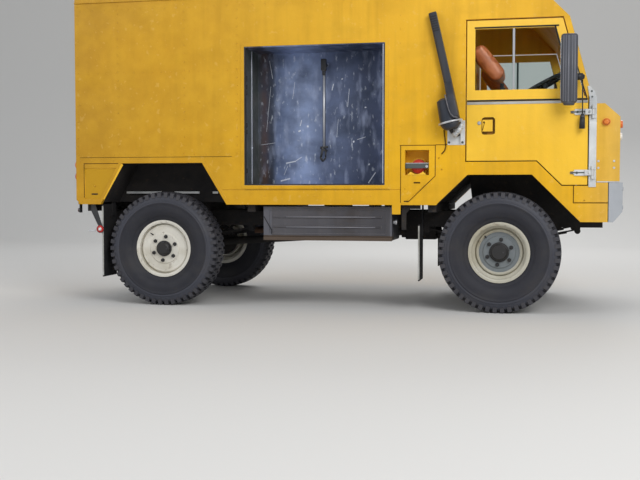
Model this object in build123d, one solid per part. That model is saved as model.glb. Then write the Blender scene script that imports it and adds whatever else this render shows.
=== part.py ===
from build123d import *
import math
import os

# Military ambulance truck. All sizes are in millimetres.
# X runs forward, Y to the vehicle's left, Z up from the floor, and the origin is
# under the middle of the vehicle.

# Driving dimensions
WHEELBASE = 2565
TRACK = 1549
TYRE_R = 440
FRONT_OVERHANG = 843  # front axle to the face of the bumper
REAR_OVERHANG = 753  # rear axle to the tip of the tow pintle
BODY_WIDTH = 1900
ROOF_Z = 2450

FRONT_AXLE_X = (WHEELBASE + REAR_OVERHANG - FRONT_OVERHANG) / 2
REAR_AXLE_X = FRONT_AXLE_X - WHEELBASE
MID_X = (FRONT_AXLE_X + REAR_AXLE_X) / 2
HUB_Z = TYRE_R
WHEEL_Y = TRACK / 2
HALF_W = BODY_WIDTH / 2

# Body shell
WALL = 32  # side, roof and door skins with their lining
ROOF_EDGE_R = 120  # rounding where the sides meet the roof
INNER_Y = HALF_W - WALL
EAVES_Z = ROOF_Z - ROOF_EDGE_R
ROOF_INNER_Z = ROOF_Z - WALL
ROOF_FLAT_Y = HALF_W - ROOF_EDGE_R
HEADER_Z = ROOF_Z - 350  # lower edge of the sloped header over the windscreen
REAR_FACE_X = REAR_AXLE_X - 682
REAR_WALL = 40
SILL_Z = 783
FLOOR_Z = 800
FLOOR_TOP_Z = FLOOR_Z + 38
SHEET = 20  # floors and inner arches
SEAM_W = 4  # joints between sheets, cut as shallow grooves
SEAM_DEPTH = 3

# Cab
DOOR_GAP = 8
DOOR_REAR_X = FRONT_AXLE_X - 232
DOOR_FRONT_X = FRONT_AXLE_X + 605
CAB_REAR_X = DOOR_REAR_X - DOOR_GAP
DOOR_HIGH_Z = 1100  # door bottom over the wheel
DOOR_LOW_Z = 928  # door bottom over the foot well
DOOR_SLANT_REAR_X = FRONT_AXLE_X + 260
DOOR_SLANT_FRONT_X = FRONT_AXLE_X + 434
DOOR_TOP_Z = HEADER_Z - 10
DOOR_T = 35
WAIST_Z = 1537
WINDOW_Z = 1600
WINDOW_TOP_Z = DOOR_TOP_Z - 60
BULKHEAD_X = (CAB_REAR_X - 32, CAB_REAR_X)
FASCIA_X = FRONT_AXLE_X + 822
FASCIA_T = 25
FASCIA_Z = 952
CHAMFER_Z = 1398
CHAMFER_X = FRONT_AXLE_X + 718
SCUTTLE_Z = 1492
POST_REAR_X = DOOR_FRONT_X + DOOR_GAP
POST_FRONT_X = POST_REAR_X + 50
POST_FOOT_Z = 912
HINGE_X = FRONT_AXLE_X + 638  # axis of the cab door hinges
HINGE_Y = HALF_W + 15
HINGE_HEIGHTS = (1012, 1434)
HINGE_PIN_R = 5
SCREEN_BASE_Z = WAIST_Z + DOOR_GAP
SCREEN_BASE_X = FRONT_AXLE_X + 629
SCREEN_TOP_X = FRONT_AXLE_X + 475
SCREEN_T = 42
SCREEN_PANE_Z = (SCREEN_BASE_Z + 55, HEADER_Z - 55)
FOOT_WELL_Z = 925
ARCH_FLOOR_Z = 1095
ENGINE_COVER_Z = ARCH_FLOOR_Z + 140

# Front wheel arch, as cut in the panel below the door
ARCH_TOP_Z = 1001
ARCH_TOP_REAR_X = FRONT_AXLE_X - 223
ARCH_TOP_FRONT_X = FRONT_AXLE_X + 227
ARCH_FOOT_REAR_X = FRONT_AXLE_X - 432
ARCH_FOOT_FRONT_X = FRONT_AXLE_X + 562
VALANCE_Z = 667
VALANCE_FRONT_X = FRONT_AXLE_X + 745
VALANCE_SEAM_X = FRONT_AXLE_X + 512
VALANCE_SEAM_Z = 802
BUMPER_X = (FRONT_AXLE_X + 750, FRONT_AXLE_X + FRONT_OVERHANG)
BUMPER_Z = (VALANCE_Z, FASCIA_Z - 9)
BUMPER_SHEET = 8

# Where the rear edge of the front arch meets the cab's rear corner
ARCH_REAR_SLOPE = (ARCH_TOP_Z - FLOOR_Z) / (ARCH_TOP_REAR_X - ARCH_FOOT_REAR_X)
CORNER_Z = FLOOR_Z + (CAB_REAR_X - ARCH_FOOT_REAR_X) * ARCH_REAR_SLOPE

# Rear wheel arch
REAR_ARCH_TOP_Z = 1099
REAR_ARCH_TOP_X = (REAR_AXLE_X - 303, REAR_AXLE_X + 349)
REAR_ARCH_FOOT_X = (REAR_AXLE_X - 480, REAR_AXLE_X + 542)
WHEEL_BOX_Y = WHEEL_Y - 174.5
WHEEL_BOX_SHEET = 15

# Spare-wheel recess in the right side
RECESS_X = (MID_X - 600, MID_X + 462)
RECESS_Z = (928, ROOF_Z - 490)
RECESS_DEPTH = 370
RECESS_SHEET = 8
RECESS_RIM = 26  # width of the thin frame round the opening
SILL_FOLD_Z = 892

# Fuel filler pocket in the right side
POCKET_X = (FRONT_AXLE_X - 673, FRONT_AXLE_X - 499)
POCKET_Z = (1000, 1180)
POCKET_DEPTH = 110
POCKET_SHEET = 4
CAP_X = FRONT_AXLE_X - 581
CAP_Z = 1063
CAP_R = 46

# Windows of the load space
SIDE_WINDOW_X = (MID_X - 500, MID_X + 100)
LOAD_WINDOW_Z = (1620, ROOF_Z - 400)
REAR_WINDOW_Y = (150, HALF_W - 330)
GLASS_T = 6

# Fascia
GRILLE_HALF = 360
GRILLE_Z = (1000, 1340)
GRILLE_BORDER = 18
LAMP_Y = HALF_W - 360
LAMP_Z = 1150
LAMP_R = 92

# Chassis
PIVOT_Y = WHEEL_Y - 102.5  # steering pivot
TUNNEL_Y = PIVOT_Y - 257  # inner wall of the front wheel space
RAIL_Y = (TUNNEL_Y - 85, TUNNEL_Y - 15)
RAIL_Z = (HUB_Z + 170, HUB_Z + 290)  # the springs carry the rails over the axles
RAIL_X = (REAR_FACE_X + 20, BUMPER_X[0])
MEMBER_HALF = 30
SPRING_Y = (RAIL_Y[0] + RAIL_Y[1]) / 2
SPRING_W = 64
AXLE_R = 45
SPRING_SEAT_Z = HUB_Z + AXLE_R + 5
DIFF_Y = -110  # the differentials lie to the right of the middle
DIFF_R = 120
BALL_R = 76
STEER_ARM = 165
TIE_Z = HUB_Z - 40
SHAFT_Z = HUB_Z + 20
GEARBOX_REAR_X = FRONT_AXLE_X - 760
GEARBOX_FRONT_X = FRONT_AXLE_X - 520

# Wheels
RIM_R = 203
FLANGE_R = 221
RIM_HALF = 87.5
TYRE_HALF = 118
STUB_R = 30
STUD_CIRCLE_R = 92.5
STUD_R = 9
STUD_OUT = 22
STUD_COUNT = 6
# Turn of the first stud from the top, right and left: the wheels have stopped at different angles
FIRST_STUD = {-1: 52, 1: 22}

# Rear doors
REAR_DOOR_Y = HALF_W - 189
REAR_DOOR_Z = (845, ROOF_Z - 217)
REAR_HINGE_X = REAR_FACE_X - 10
REAR_HINGE_Y = REAR_DOOR_Y + 11
REAR_HINGE_HEIGHTS = (REAR_DOOR_Z[0] + 205, REAR_DOOR_Z[0] + 655, REAR_DOOR_Z[1] - 113)
REAR_DOOR_GAP = 7

# Folding step
STEP_HINGE_X = REAR_FACE_X + 15
STEP_HINGE_Z = RAIL_Z[0] - 20
STEP_DEPTH = 250
STEP_HALF = 400
STEP_T = 24
STEP_PIN_R = 7
STEP_LUG_Y = STEP_HALF - 60

# Seats
SEAT_W = INNER_Y - TUNNEL_Y - 60
SEAT_Y = TUNNEL_Y + 8 + SEAT_W / 2
SEAT_TOP_Z = 1470
SEAT_PAD_T = 117
SEAT_LEAN = 38
SEAT_BACK_LEN = 330
STEERING_X = FRONT_AXLE_X + 290
STEERING_Z = 1650
STEERING_TILT = 28

# Mirrors
MIRROR_X = FRONT_AXLE_X + 470
MIRROR_Z = (1487, 1960)
MIRROR_Y = (HALF_W + 85, HALF_W + 150)
STAY_X = FRONT_AXLE_X + 588
STAY_Y = HALF_W + 34
STAY_Z = (WAIST_Z - 187, WAIST_Z + 23)
STAY_KNEE_Z = WAIST_Z + 134


def block(x, y, z):
    """A box between three pairs of limits."""
    size = Box(x[1] - x[0], y[1] - y[0], z[1] - z[0])
    return Pos((x[0] + x[1]) / 2, (y[0] + y[1]) / 2, (z[0] + z[1]) / 2) * size


def side_plate(points, y):
    """A plate whose outline is drawn in X and Z, between two Y values."""
    face = Plane.XZ * Polygon(*points, align=None)
    return Pos(0, y[0], 0) * extrude(face, y[1] - y[0], dir=(0, 1, 0))


def cross_plate(points, x):
    """A plate whose outline is drawn in Y and Z, between two X values."""
    face = Plane.YZ * Polygon(*points, align=None)
    return Pos(x[0], 0, 0) * extrude(face, x[1] - x[0], dir=(1, 0, 0))


def rod(start, end, radius):
    """A round bar between two points."""
    start, end = Vector(*start), Vector(*end)
    plane = Plane(start, z_dir=(end - start).normalized())
    return extrude(plane * Circle(radius), (end - start).length)


def lathe(profile):
    """A solid turned about the X axis from points given as (distance along X, radius)."""
    return revolve(Plane.XY * Polygon(*profile, align=None), Axis.X)


def mirror_y(shape):
    return mirror(shape, about=Plane.XZ)


def both(shape):
    """The shape and its mirror image on the other side of the vehicle."""
    return shape + mirror_y(shape)


def fuse(shapes):
    """Join a list of shapes."""
    whole = shapes[0]
    return whole + shapes[1:] if len(shapes) > 1 else whole


def apart(shapes):
    """Keep the solids of a list of shapes separate, in one node."""
    return Compound([solid for shape in shapes for solid in shape.solids()])


# Chassis and running gear


def chassis_frame():
    """Two box rails with their cross-members, the bearers under the body and the brackets."""
    parts = []
    for side in (-1, 1):
        parts.append(block(RAIL_X, sorted((side * RAIL_Y[0], side * RAIL_Y[1])), RAIL_Z))
    mid_z = (RAIL_Z[0] + RAIL_Z[1]) / 2
    # Cross-members: station along X, half height
    for x, half in ((RAIL_X[0] + MEMBER_HALF, 60), (REAR_AXLE_X + 330, 35), (MID_X + 60, 35),
                    (FRONT_AXLE_X - 810, 35), (FRONT_AXLE_X + 640, 35)):
        parts.append(block((x - MEMBER_HALF, x + MEMBER_HALF), (-RAIL_Y[0], RAIL_Y[0]),
                           (mid_z - half, mid_z + half)))
    # Bearers on the rails: station along X, half length
    for x, half in ((REAR_AXLE_X - 580, INNER_Y - 18), (REAR_AXLE_X - 200, WHEEL_BOX_Y - 10),
                    (REAR_AXLE_X + 200, WHEEL_BOX_Y - 10), (MID_X - 560, INNER_Y - 18),
                    (MID_X - 60, RAIL_Y[1] + 60), (MID_X + 420, RAIL_Y[1] + 60),
                    (FRONT_AXLE_X - 480, INNER_Y - 18)):
        parts.append(block((x - MEMBER_HALF, x + MEMBER_HALF), (-half, half), (RAIL_Z[1], FLOOR_Z)))
    # Cab mounts between the rails and the inner arches
    for x in (FRONT_AXLE_X - 180, FRONT_AXLE_X + 600):
        for side in (-1, 1):
            y = sorted((side * RAIL_Y[1], side * TUNNEL_Y))
            parts.append(block((x - 40, x + 40), y, (RAIL_Z[0] + 60, RAIL_Z[1] - 10)))
    # Ends of the rear cross-member, outside the rails
    for side in (-1, 1):
        y = sorted((side * RAIL_Y[1], side * (RAIL_Y[1] + 100)))
        parts.append(block((RAIL_X[0], RAIL_X[0] + 2 * MEMBER_HALF), y, RAIL_Z))
    return apart(parts + step_lugs() + step_brackets())


def step_lugs():
    """Rounded lugs under the rear cross-member that carry the folding step."""
    lugs = []
    for y in (-STEP_LUG_Y, STEP_LUG_Y):
        width = (STEP_HINGE_X - 16, STEP_HINGE_X + 16)
        lug = block(width, (y - 5, y + 5), (STEP_HINGE_Z, RAIL_Z[0]))
        lug += rod((STEP_HINGE_X, y - 5, STEP_HINGE_Z), (STEP_HINGE_X, y + 5, STEP_HINGE_Z), 16)
        lug -= rod((STEP_HINGE_X, y - 6, STEP_HINGE_Z), (STEP_HINGE_X, y + 6, STEP_HINGE_Z), STEP_PIN_R + 0.5)
        lugs.append(lug)
    return lugs


def step_brackets():
    """The plate bracket in front of the side tank, shaped like an upside-down L."""
    x = (FRONT_AXLE_X - 700, FRONT_AXLE_X - 562)
    low = FLOOR_Z - 198
    outline = [(x[0], low), (x[0] + 34, low), (x[0] + 34, FLOOR_Z - 78), (x[0] + 62, FLOOR_Z - 46),
               (x[1], FLOOR_Z - 46), (x[1], FLOOR_Z), (x[0], FLOOR_Z)]
    return [side_plate(outline, (-INNER_Y + 6, -INNER_Y + 12))]


def leaf(half_length, low, high, bow):
    """One bowed leaf: it rises by bow at a distance of 560 mm from its middle."""
    radius = (560**2 + bow**2) / (2 * bow)

    def at(x, z):
        r = radius - z
        return (x, radius - math.sqrt(r**2 - x**2))

    lower = ThreePointArc(at(-half_length, low), (0, low), at(half_length, low))
    upper = ThreePointArc(at(half_length, high), (0, high), at(-half_length, high))
    ends = [Line(lower @ 1, upper @ 0), Line(upper @ 1, lower @ 0)]
    face = Plane.XZ * make_face([lower, upper] + ends)
    return Pos(0, -SPRING_W / 2, 0) * extrude(face, SPRING_W, dir=(0, 1, 0))


LEAF_T = 9
LEAF_BOW = 62
LEAF_HALF_LENGTHS = (190, 300, 400, 490, 560)
SPRING_EYE_X = 568
SPRING_EYE_R = 22
U_BOLT_R = 7


def leaf_spring(axle_x):
    """A pack of leaves with eyes, hangers and the plate that two U-bolts clamp on the axle."""
    half = SPRING_W / 2
    pack = []
    for number, half_length in enumerate(LEAF_HALF_LENGTHS):
        pack.append(leaf(half_length, number * LEAF_T, (number + 1) * LEAF_T, LEAF_BOW))
    top = len(LEAF_HALF_LENGTHS) * LEAF_T
    pack.append(block((-80, 80), (-half - 18, half + 18), (top, top + 12)))
    eye_z = top + LEAF_BOW - 14
    hanger_top = RAIL_Z[0] - SPRING_SEAT_Z
    tube_low = HUB_Z - AXLE_R - SPRING_SEAT_Z
    bolt_low = tube_low - 20
    for side in (-1, 1):
        eye_x = side * SPRING_EYE_X
        pack.append(rod((eye_x, -half, eye_z), (eye_x, half, eye_z), SPRING_EYE_R))
        pack.append(block((eye_x - 20, eye_x + 20), (-half, half), (eye_z, hanger_top)))
        for y in (-half - 9, half + 9):
            pack.append(rod((side * 66, y, bolt_low), (side * 66, y, top + 24), U_BOLT_R))
    pack.append(block((-80, 80), (-half - 18, half + 18), (tube_low - 12, tube_low - 0.5)))
    return Pos(axle_x, SPRING_Y, SPRING_SEAT_Z) * fuse(pack)


def leaf_springs():
    return both(leaf_spring(FRONT_AXLE_X)) + both(leaf_spring(REAR_AXLE_X))


def axle_casing(axle_x, half_length, nose):
    """The axle tube with its spring pads, round differential casing and pinion nose."""
    tube = rod((axle_x, -half_length, HUB_Z), (axle_x, half_length, HUB_Z), AXLE_R)
    casing = Pos(axle_x, DIFF_Y, HUB_Z) * Rot(0, 0, 90 + 90 * nose) * Sphere(DIFF_R)
    snout = rod((axle_x, DIFF_Y, SHAFT_Z), (axle_x + nose * 200, DIFF_Y, SHAFT_Z), 48)
    pads = [block((axle_x - 55, axle_x + 55), (side * SPRING_Y - 32, side * SPRING_Y + 32),
                  (HUB_Z, SPRING_SEAT_Z)) for side in (-1, 1)]
    return [tube, casing, snout] + pads


def front_axle():
    """The casing ends in the round balls that the knuckles swivel on."""
    parts = axle_casing(FRONT_AXLE_X, PIVOT_Y - 20, -1)
    for side in (-1, 1):
        parts.append(Pos(FRONT_AXLE_X, side * PIVOT_Y, HUB_Z) * Sphere(BALL_R))
    return fuse(parts)


def rear_axle():
    """The casing ends in brake back plates and the stubs that carry the wheels."""
    flange_y = WHEEL_Y - 92
    parts = axle_casing(REAR_AXLE_X, flange_y, 1)
    for side in (-1, 1):
        inner, plate, outer = side * (flange_y - 8), side * flange_y, side * (WHEEL_Y + REAR_DISC[1] + 10)
        parts.append(rod((REAR_AXLE_X, inner, HUB_Z), (REAR_AXLE_X, plate, HUB_Z), 132))
        parts.append(rod((REAR_AXLE_X, plate, HUB_Z), (REAR_AXLE_X, outer, HUB_Z), STUB_R))
    return fuse(parts)


def knuckle(side):
    """The swivel housing round the ball, with the stub that carries the wheel and a steering arm."""
    centre = Pos(FRONT_AXLE_X, side * PIVOT_Y, HUB_Z)
    shell = Sphere(BALL_R + 18) - Sphere(BALL_R + 6)
    shell -= block((-200, 200), sorted((side * -22, side * -200)), (-200, 200))
    stub = rod((0, side * (BALL_R + 8), 0), (0, side * (WHEEL_Y + FRONT_DISC[1] + 12 - PIVOT_Y), 0), STUB_R)
    pins = rod((0, 0, BALL_R + 0.3), (0, 0, BALL_R + 30), 20)
    pins += rod((0, 0, -BALL_R - 0.3), (0, 0, -BALL_R - 30), 20)
    arm_z = TIE_Z - HUB_Z
    arm = block((-STEER_ARM - 18, -80), (-14, 14), (arm_z - 8, arm_z + 8))
    arm += rod((-STEER_ARM, 0, arm_z - 8), (-STEER_ARM, 0, arm_z - 45), TIE_PIN_R)
    return centre * (shell + stub + pins + arm)


TIE_PIN_R = 8


def track_rod():
    """The bar that joins the steering arms, with an eye round each pin."""
    z = TIE_Z - 30
    x = FRONT_AXLE_X - STEER_ARM
    bar = rod((x, -PIVOT_Y + 17, z), (x, PIVOT_Y - 17, z), 14)
    for y in (-PIVOT_Y, PIVOT_Y):
        bar += rod((x, y, z - 12), (x, y, z + 12), 19)
    for y in (-PIVOT_Y, PIVOT_Y):
        bar -= rod((x, y, z - 13), (x, y, z + 13), TIE_PIN_R + 0.5)
    return bar


def drivetrain():
    """The engine, gearbox and radiator as plain blocks at their real places."""
    half = RAIL_Y[0] - 75
    engine = block((FRONT_AXLE_X - 120, FRONT_AXLE_X + 480), (-half, half), (700, 1150))
    engine += block((FRONT_AXLE_X + 140, FRONT_AXLE_X + 460), (-120, 120), (580, 700))
    gearbox = block((GEARBOX_FRONT_X, FRONT_AXLE_X - 120), (-130, 130), (600, RAIL_Z[1] - 5))
    gearbox += block((GEARBOX_REAR_X, GEARBOX_FRONT_X), (DIFF_Y - 90, 160), (500, RAIL_Z[1] - 5))
    radiator = block((FASCIA_X - 132, FASCIA_X - 72), (-300, 300), (760, 1400))
    return engine + gearbox + radiator


def propshafts():
    """The two shafts from the gearbox to the axles, with a joint at each end."""
    rear_nose = REAR_AXLE_X + 200
    front_nose = FRONT_AXLE_X - 200
    front_z = 552
    rear_z = 560
    rear = rod((GEARBOX_REAR_X, DIFF_Y, rear_z), (GEARBOX_REAR_X - 40, DIFF_Y, rear_z), 50)
    rear += rod((GEARBOX_REAR_X - 30, DIFF_Y, rear_z), (rear_nose + 35, DIFF_Y, SHAFT_Z + 4), 32)
    rear += rod((rear_nose + 40, DIFF_Y, SHAFT_Z), (rear_nose, DIFF_Y, SHAFT_Z), 46)
    front = rod((GEARBOX_FRONT_X, DIFF_Y, front_z), (GEARBOX_FRONT_X + 40, DIFF_Y, front_z), 46)
    front += rod((GEARBOX_FRONT_X + 30, DIFF_Y, front_z), (front_nose - 35, DIFF_Y, SHAFT_Z + 4), 28)
    front += rod((front_nose - 40, DIFF_Y, SHAFT_Z), (front_nose, DIFF_Y, SHAFT_Z), 44)
    return rear + front


def exhaust():
    """A round silencer on its pipe, hung from the bearers by three straps."""
    y = RAIL_Y[0] - 70
    z = 545
    silencer_x = (MID_X - 300, MID_X + 250)
    silencer = rod((silencer_x[0], y, z), (silencer_x[1], y, z), 80)
    pipes = [rod((FRONT_AXLE_X - 700, y, z), (silencer_x[1], y, z), 26),
             rod((silencer_x[0], y, z), (REAR_AXLE_X + 420, y, z), 26)]
    hangers = []
    # Hangers: station along X, radius of what they meet
    for x, radius in ((MID_X - 560, 26), (MID_X - 60, 80), (MID_X + 420, 26)):
        hangers.append(block((x - 10, x + 10), (y - 12, y + 12), (z + radius, RAIL_Z[1])))
    return apart([silencer] + pipes + hangers)


TANK_X = (MID_X - 464, MID_X + 510)
TANK_Z = (521, FLOOR_Z - 30)
TANK_Y = (-HALF_W + 45, -RAIL_Y[1] - 80)


def side_tank():
    """The tank under the right sill: pressed side with two long beads, folded lip and straps."""
    x, y, z = TANK_X, TANK_Y, TANK_Z
    tank = block(x, y, z)
    tank = fillet(tank.edges().filter_by(Axis.X).group_by(Axis.Z)[0], 40)
    tank -= block((x[0] + 45, x[1] - 45), (y[0] - 1, y[0] + 4), (z[0] + 48, z[1] - 28))
    for bead_z in (z[0] + 99, z[0] + 169):
        bead = rod((x[0] + 75, y[0] + 4, bead_z), (x[1] - 75, y[0] + 4, bead_z), 8)
        tank += bead
    tank += block(x, (y[0] - 6, y[0] + 30), (z[0] - 4, z[0] + 22))
    for strap_x in (x[0] + 160, x[1] - 160):
        tank += block((strap_x - 20, strap_x + 20), (y[0] + 60, y[1]), (z[1], FLOOR_Z))
    return tank


def tow_pintle():
    """The towing jaw behind the rear cross-member, with its upright pin."""
    tip = REAR_AXLE_X - REAR_OVERHANG + 22
    low, high = RAIL_Z[0] + 14, RAIL_Z[0] + 78
    plate = block((RAIL_X[0] - 12, RAIL_X[0]), (-60, 60), (low - 12, high + 12))
    jaw = block((tip, RAIL_X[0] - 12), (-26, 26), (low, high))
    jaw += rod((tip, 0, low), (tip, 0, high), 22)
    jaw -= block((tip - 27, tip + 30), (-40, 40), (low + 16, high - 16))
    jaw += rod((tip + 2, 0, low - 12), (tip + 2, 0, high + 8), 12)
    return plate + jaw


# Wheels

# Rear and front wheel discs: outboard distance of the disc's face, of its raised centre,
# radius of the hub cap, of the dish, of the ridge, of the outer edge, and the ridge's distance
REAR_DISC = (58, 66, 61, 168, 176, 196, 61)
FRONT_DISC = (12, 20, 72, 143, 158, 175, 28)


def rim(side, axle_x, disc):
    """A pressed steel wheel: drop-centre barrel, dished disc with a ridge, brake drum, hub and studs."""
    face, centre, cap_r, dish_r, ridge_r, edge_r, ridge = disc
    barrel = [(-RIM_HALF, 196), (-RIM_HALF, FLANGE_R), (-81, FLANGE_R), (-79, RIM_R), (-40, RIM_R),
              (-28, 182), (14, 182), (26, RIM_R), (79, RIM_R), (81, FLANGE_R), (RIM_HALF, FLANGE_R),
              (RIM_HALF, 208), (82, 196), (29, 196), (16, 175), (-30, 175), (-42, 196)]
    web = [(face - 10, STUB_R + 0.5), (face - 10, dish_r - 4), (ridge - 8, ridge_r - 2),
           (ridge - 34, edge_r - 8), (ridge - 34, edge_r + 1), (ridge - 24, edge_r + 1),
           (ridge - 2, ridge_r + 6), (ridge, ridge_r), (face, dish_r), (face, 122), (centre, 114),
           (centre, STUB_R + 0.5)]
    drum = [(-70, 142), (-70, 150), (face - 9, 150), (face - 9, STUB_R + 0.5), (face - 21, STUB_R + 0.5),
            (face - 21, 142)]
    hub = [(face - 20, STUB_R + 0.5), (face - 20, cap_r), (centre + 12, cap_r), (centre + 14, cap_r - 10),
           (centre + 30, cap_r - 13), (centre + 38, cap_r - 23), (centre + 38, 0), (centre + 26, 0),
           (centre + 26, STUB_R + 0.5)]
    wheel = fuse([lathe(profile) for profile in (barrel, web, drum, hub)])
    stud = rod((centre - 2, 0, 0), (centre + STUD_OUT, 0, 0), STUD_R)
    for number in range(STUD_COUNT):
        turn = FIRST_STUD[side] + number * 360 / STUD_COUNT
        wheel += Rot(turn, 0, 0) * Pos(0, 0, STUD_CIRCLE_R) * stud
    return Pos(axle_x, side * WHEEL_Y, HUB_Z) * Rot(0, 0, 90 * side) * wheel


def tyre(side, axle_x):
    """The casing: round sidewalls, square shoulders and a slightly crowned tread."""
    bead = (78.3, RIM_R + 0.4)
    toe = (80.3, FLANGE_R + 2.5)
    shoulder = (104, TYRE_R - 20)
    edge = (92, TYRE_R - 4)
    inner_bead = (64, RIM_R + 0.4)
    inner_edge = (84, TYRE_R - 30)

    def across(point):
        return (-point[0], point[1])

    lines = [Line(bead, toe), ThreePointArc(toe, (TYRE_HALF, 322), shoulder), Line(shoulder, edge),
             ThreePointArc(edge, (0, TYRE_R), across(edge)), Line(across(edge), across(shoulder)),
             ThreePointArc(across(shoulder), (-TYRE_HALF, 322), across(toe)), Line(across(toe), across(bead)),
             Line(across(bead), across(inner_bead)),
             ThreePointArc(across(inner_bead), (-TYRE_HALF + 15, 322), across(inner_edge)),
             ThreePointArc(across(inner_edge), (0, TYRE_R - 26), inner_edge),
             ThreePointArc(inner_edge, (TYRE_HALF - 15, 322), inner_bead), Line(inner_bead, bead)]
    ring = revolve(Plane.XY * make_face(lines), Axis.X)
    return Pos(axle_x, side * WHEEL_Y, HUB_Z) * Rot(0, 0, 90 * side) * ring


# Body

REAR_ARCH = ((REAR_ARCH_FOOT_X[0], SILL_Z - 1), (REAR_ARCH_TOP_X[0], REAR_ARCH_TOP_Z),
             (REAR_ARCH_TOP_X[1], REAR_ARCH_TOP_Z), (REAR_ARCH_FOOT_X[1], SILL_Z - 1))
LIP_W = 22  # lips round the arch and the recess
LIP_OUT = 3
HEADER_SLOPE_X = SCREEN_TOP_X - (EAVES_Z - HEADER_Z)  # the header leans back at 45 degrees
FILLER_PANEL_X = (FRONT_AXLE_X - 703, FRONT_AXLE_X - 450)

# Sheet joints on the body side: the limits along X and the height
SIDE_SEAMS = ((REAR_FACE_X + 33, MID_X - 697, 1142),
              (REAR_ARCH_FOOT_X[1] - 30, FILLER_PANEL_X[0], SILL_FOLD_Z))


def body_side():
    """The left side panel, from the tail to the header over the cab door."""
    outline = [(REAR_FACE_X, SILL_Z + 35), (REAR_FACE_X + 35, SILL_Z), (ARCH_FOOT_REAR_X - 14, SILL_Z),
               (ARCH_FOOT_REAR_X, FLOOR_Z), (CAB_REAR_X, CORNER_Z), (CAB_REAR_X, HEADER_Z),
               (SCREEN_TOP_X, HEADER_Z), (HEADER_SLOPE_X, EAVES_Z), (REAR_FACE_X, EAVES_Z)]
    panel = side_plate(outline, (INNER_Y, HALF_W))
    arch = offset(Polygon(*REAR_ARCH, align=None), LIP_W, kind=Kind.INTERSECTION)
    lip = Pos(0, HALF_W - 1, 0) * extrude(Plane.XZ * arch, LIP_OUT + 1, dir=(0, 1, 0))
    panel += lip & block((REAR_FACE_X, FRONT_AXLE_X), (HALF_W - 1, HALF_W + LIP_OUT), (SILL_Z, EAVES_Z))
    panel -= side_plate(REAR_ARCH, (INNER_Y - 1, HALF_W + LIP_OUT + 1))
    for x0, x1, z in SIDE_SEAMS:
        panel -= block((x0, x1), (HALF_W - SEAM_DEPTH, HALF_W + 1), (z, z + SEAM_W))
    return panel


def corner_press():
    """The shallow pressed panel behind the rear wheel."""
    outline = [(REAR_AXLE_X - 615, 1063), (REAR_AXLE_X - 332, 1063), (REAR_AXLE_X - 475, 822),
               (REAR_AXLE_X - 609, 822)]
    return side_plate(outline, (HALF_W - 6, HALF_W + 1))


def body_side_right():
    """The right side: the recess with its lip, the filler panel with its pocket, and a tab on the sill."""
    face = -HALF_W
    panel = mirror_y(body_side() - corner_press())
    rim_x = (RECESS_X[0] - RECESS_RIM, RECESS_X[1] + RECESS_RIM)
    rim_z = (RECESS_Z[0] - RECESS_RIM, RECESS_Z[1] + RECESS_RIM)
    panel += block(rim_x, (face - LIP_OUT, face + 1), rim_z)
    panel -= block(RECESS_X, (face - LIP_OUT - 1, -INNER_Y + 1), RECESS_Z)
    x0, x1 = FILLER_PANEL_X
    filler = [(x0, 795), (x0, 1216), (x1, 1216), (x1, 994), (x0 + 40, 813), (x0 + 40, 795)]
    panel += side_plate(filler, (face - 2, face + 1))
    panel -= block(POCKET_X, (face - 3, -INNER_Y + 1), POCKET_Z)
    back = face + POCKET_DEPTH
    pocket = block((POCKET_X[0] - POCKET_SHEET, POCKET_X[1] + POCKET_SHEET), (-INNER_Y, back),
                   (POCKET_Z[0] - POCKET_SHEET, POCKET_Z[1] + POCKET_SHEET))
    pocket -= block(POCKET_X, (-INNER_Y - 1, back - POCKET_SHEET), POCKET_Z)
    tab = block((MID_X + 516, MID_X + 579), (face, face + 5), (SILL_Z - 68, SILL_Z))
    return panel + pocket + tab


def body_side_left():
    panel = body_side() - corner_press()
    return panel - block(SIDE_WINDOW_X, (INNER_Y - 1, HALF_W + 1), LOAD_WINDOW_Z)


def body_section(inset, x, base_z):
    """The body's cross-section with rounded upper edges, drawn in by inset and run along X."""
    half = HALF_W - inset
    top = ROOF_Z - inset
    radius = ROOF_EDGE_R - inset
    corner = radius * (1 - math.sqrt(0.5))
    left = ThreePointArc((half, top - radius), (half - corner, top - corner), (half - radius, top))
    roof = Line((half - radius, top), (-half + radius, top))
    right = ThreePointArc((-half + radius, top), (-half + corner, top - corner), (-half, top - radius))
    base = Polyline((-half, top - radius), (-half, base_z), (half, base_z), (half, top - radius))
    face = Plane.YZ * make_face([left, roof, right, base])
    return Pos(x[0], 0, 0) * extrude(face, x[1] - x[0], dir=(1, 0, 0))


def behind_header(inset):
    """Everything behind the sloped header, whose face is drawn in by inset."""
    shift = inset * math.sqrt(2)
    top_x = SCREEN_TOP_X - (ROOF_Z + 20 - HEADER_Z) - shift
    points = [(REAR_FACE_X - 10, HEADER_Z - 20), (SCREEN_TOP_X + 20 - shift, HEADER_Z - 20),
              (top_x, ROOF_Z + 20), (REAR_FACE_X - 10, ROOF_Z + 20)]
    return side_plate(points, (-HALF_W - 10, HALF_W + 10))


VENT_X = (REAR_AXLE_X - 100, MID_X + 100)
VENT_FLANGE_R = 150
VENT_KERB_R = VENT_FLANGE_R + 5
VENT_KERB_H = 3


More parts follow.
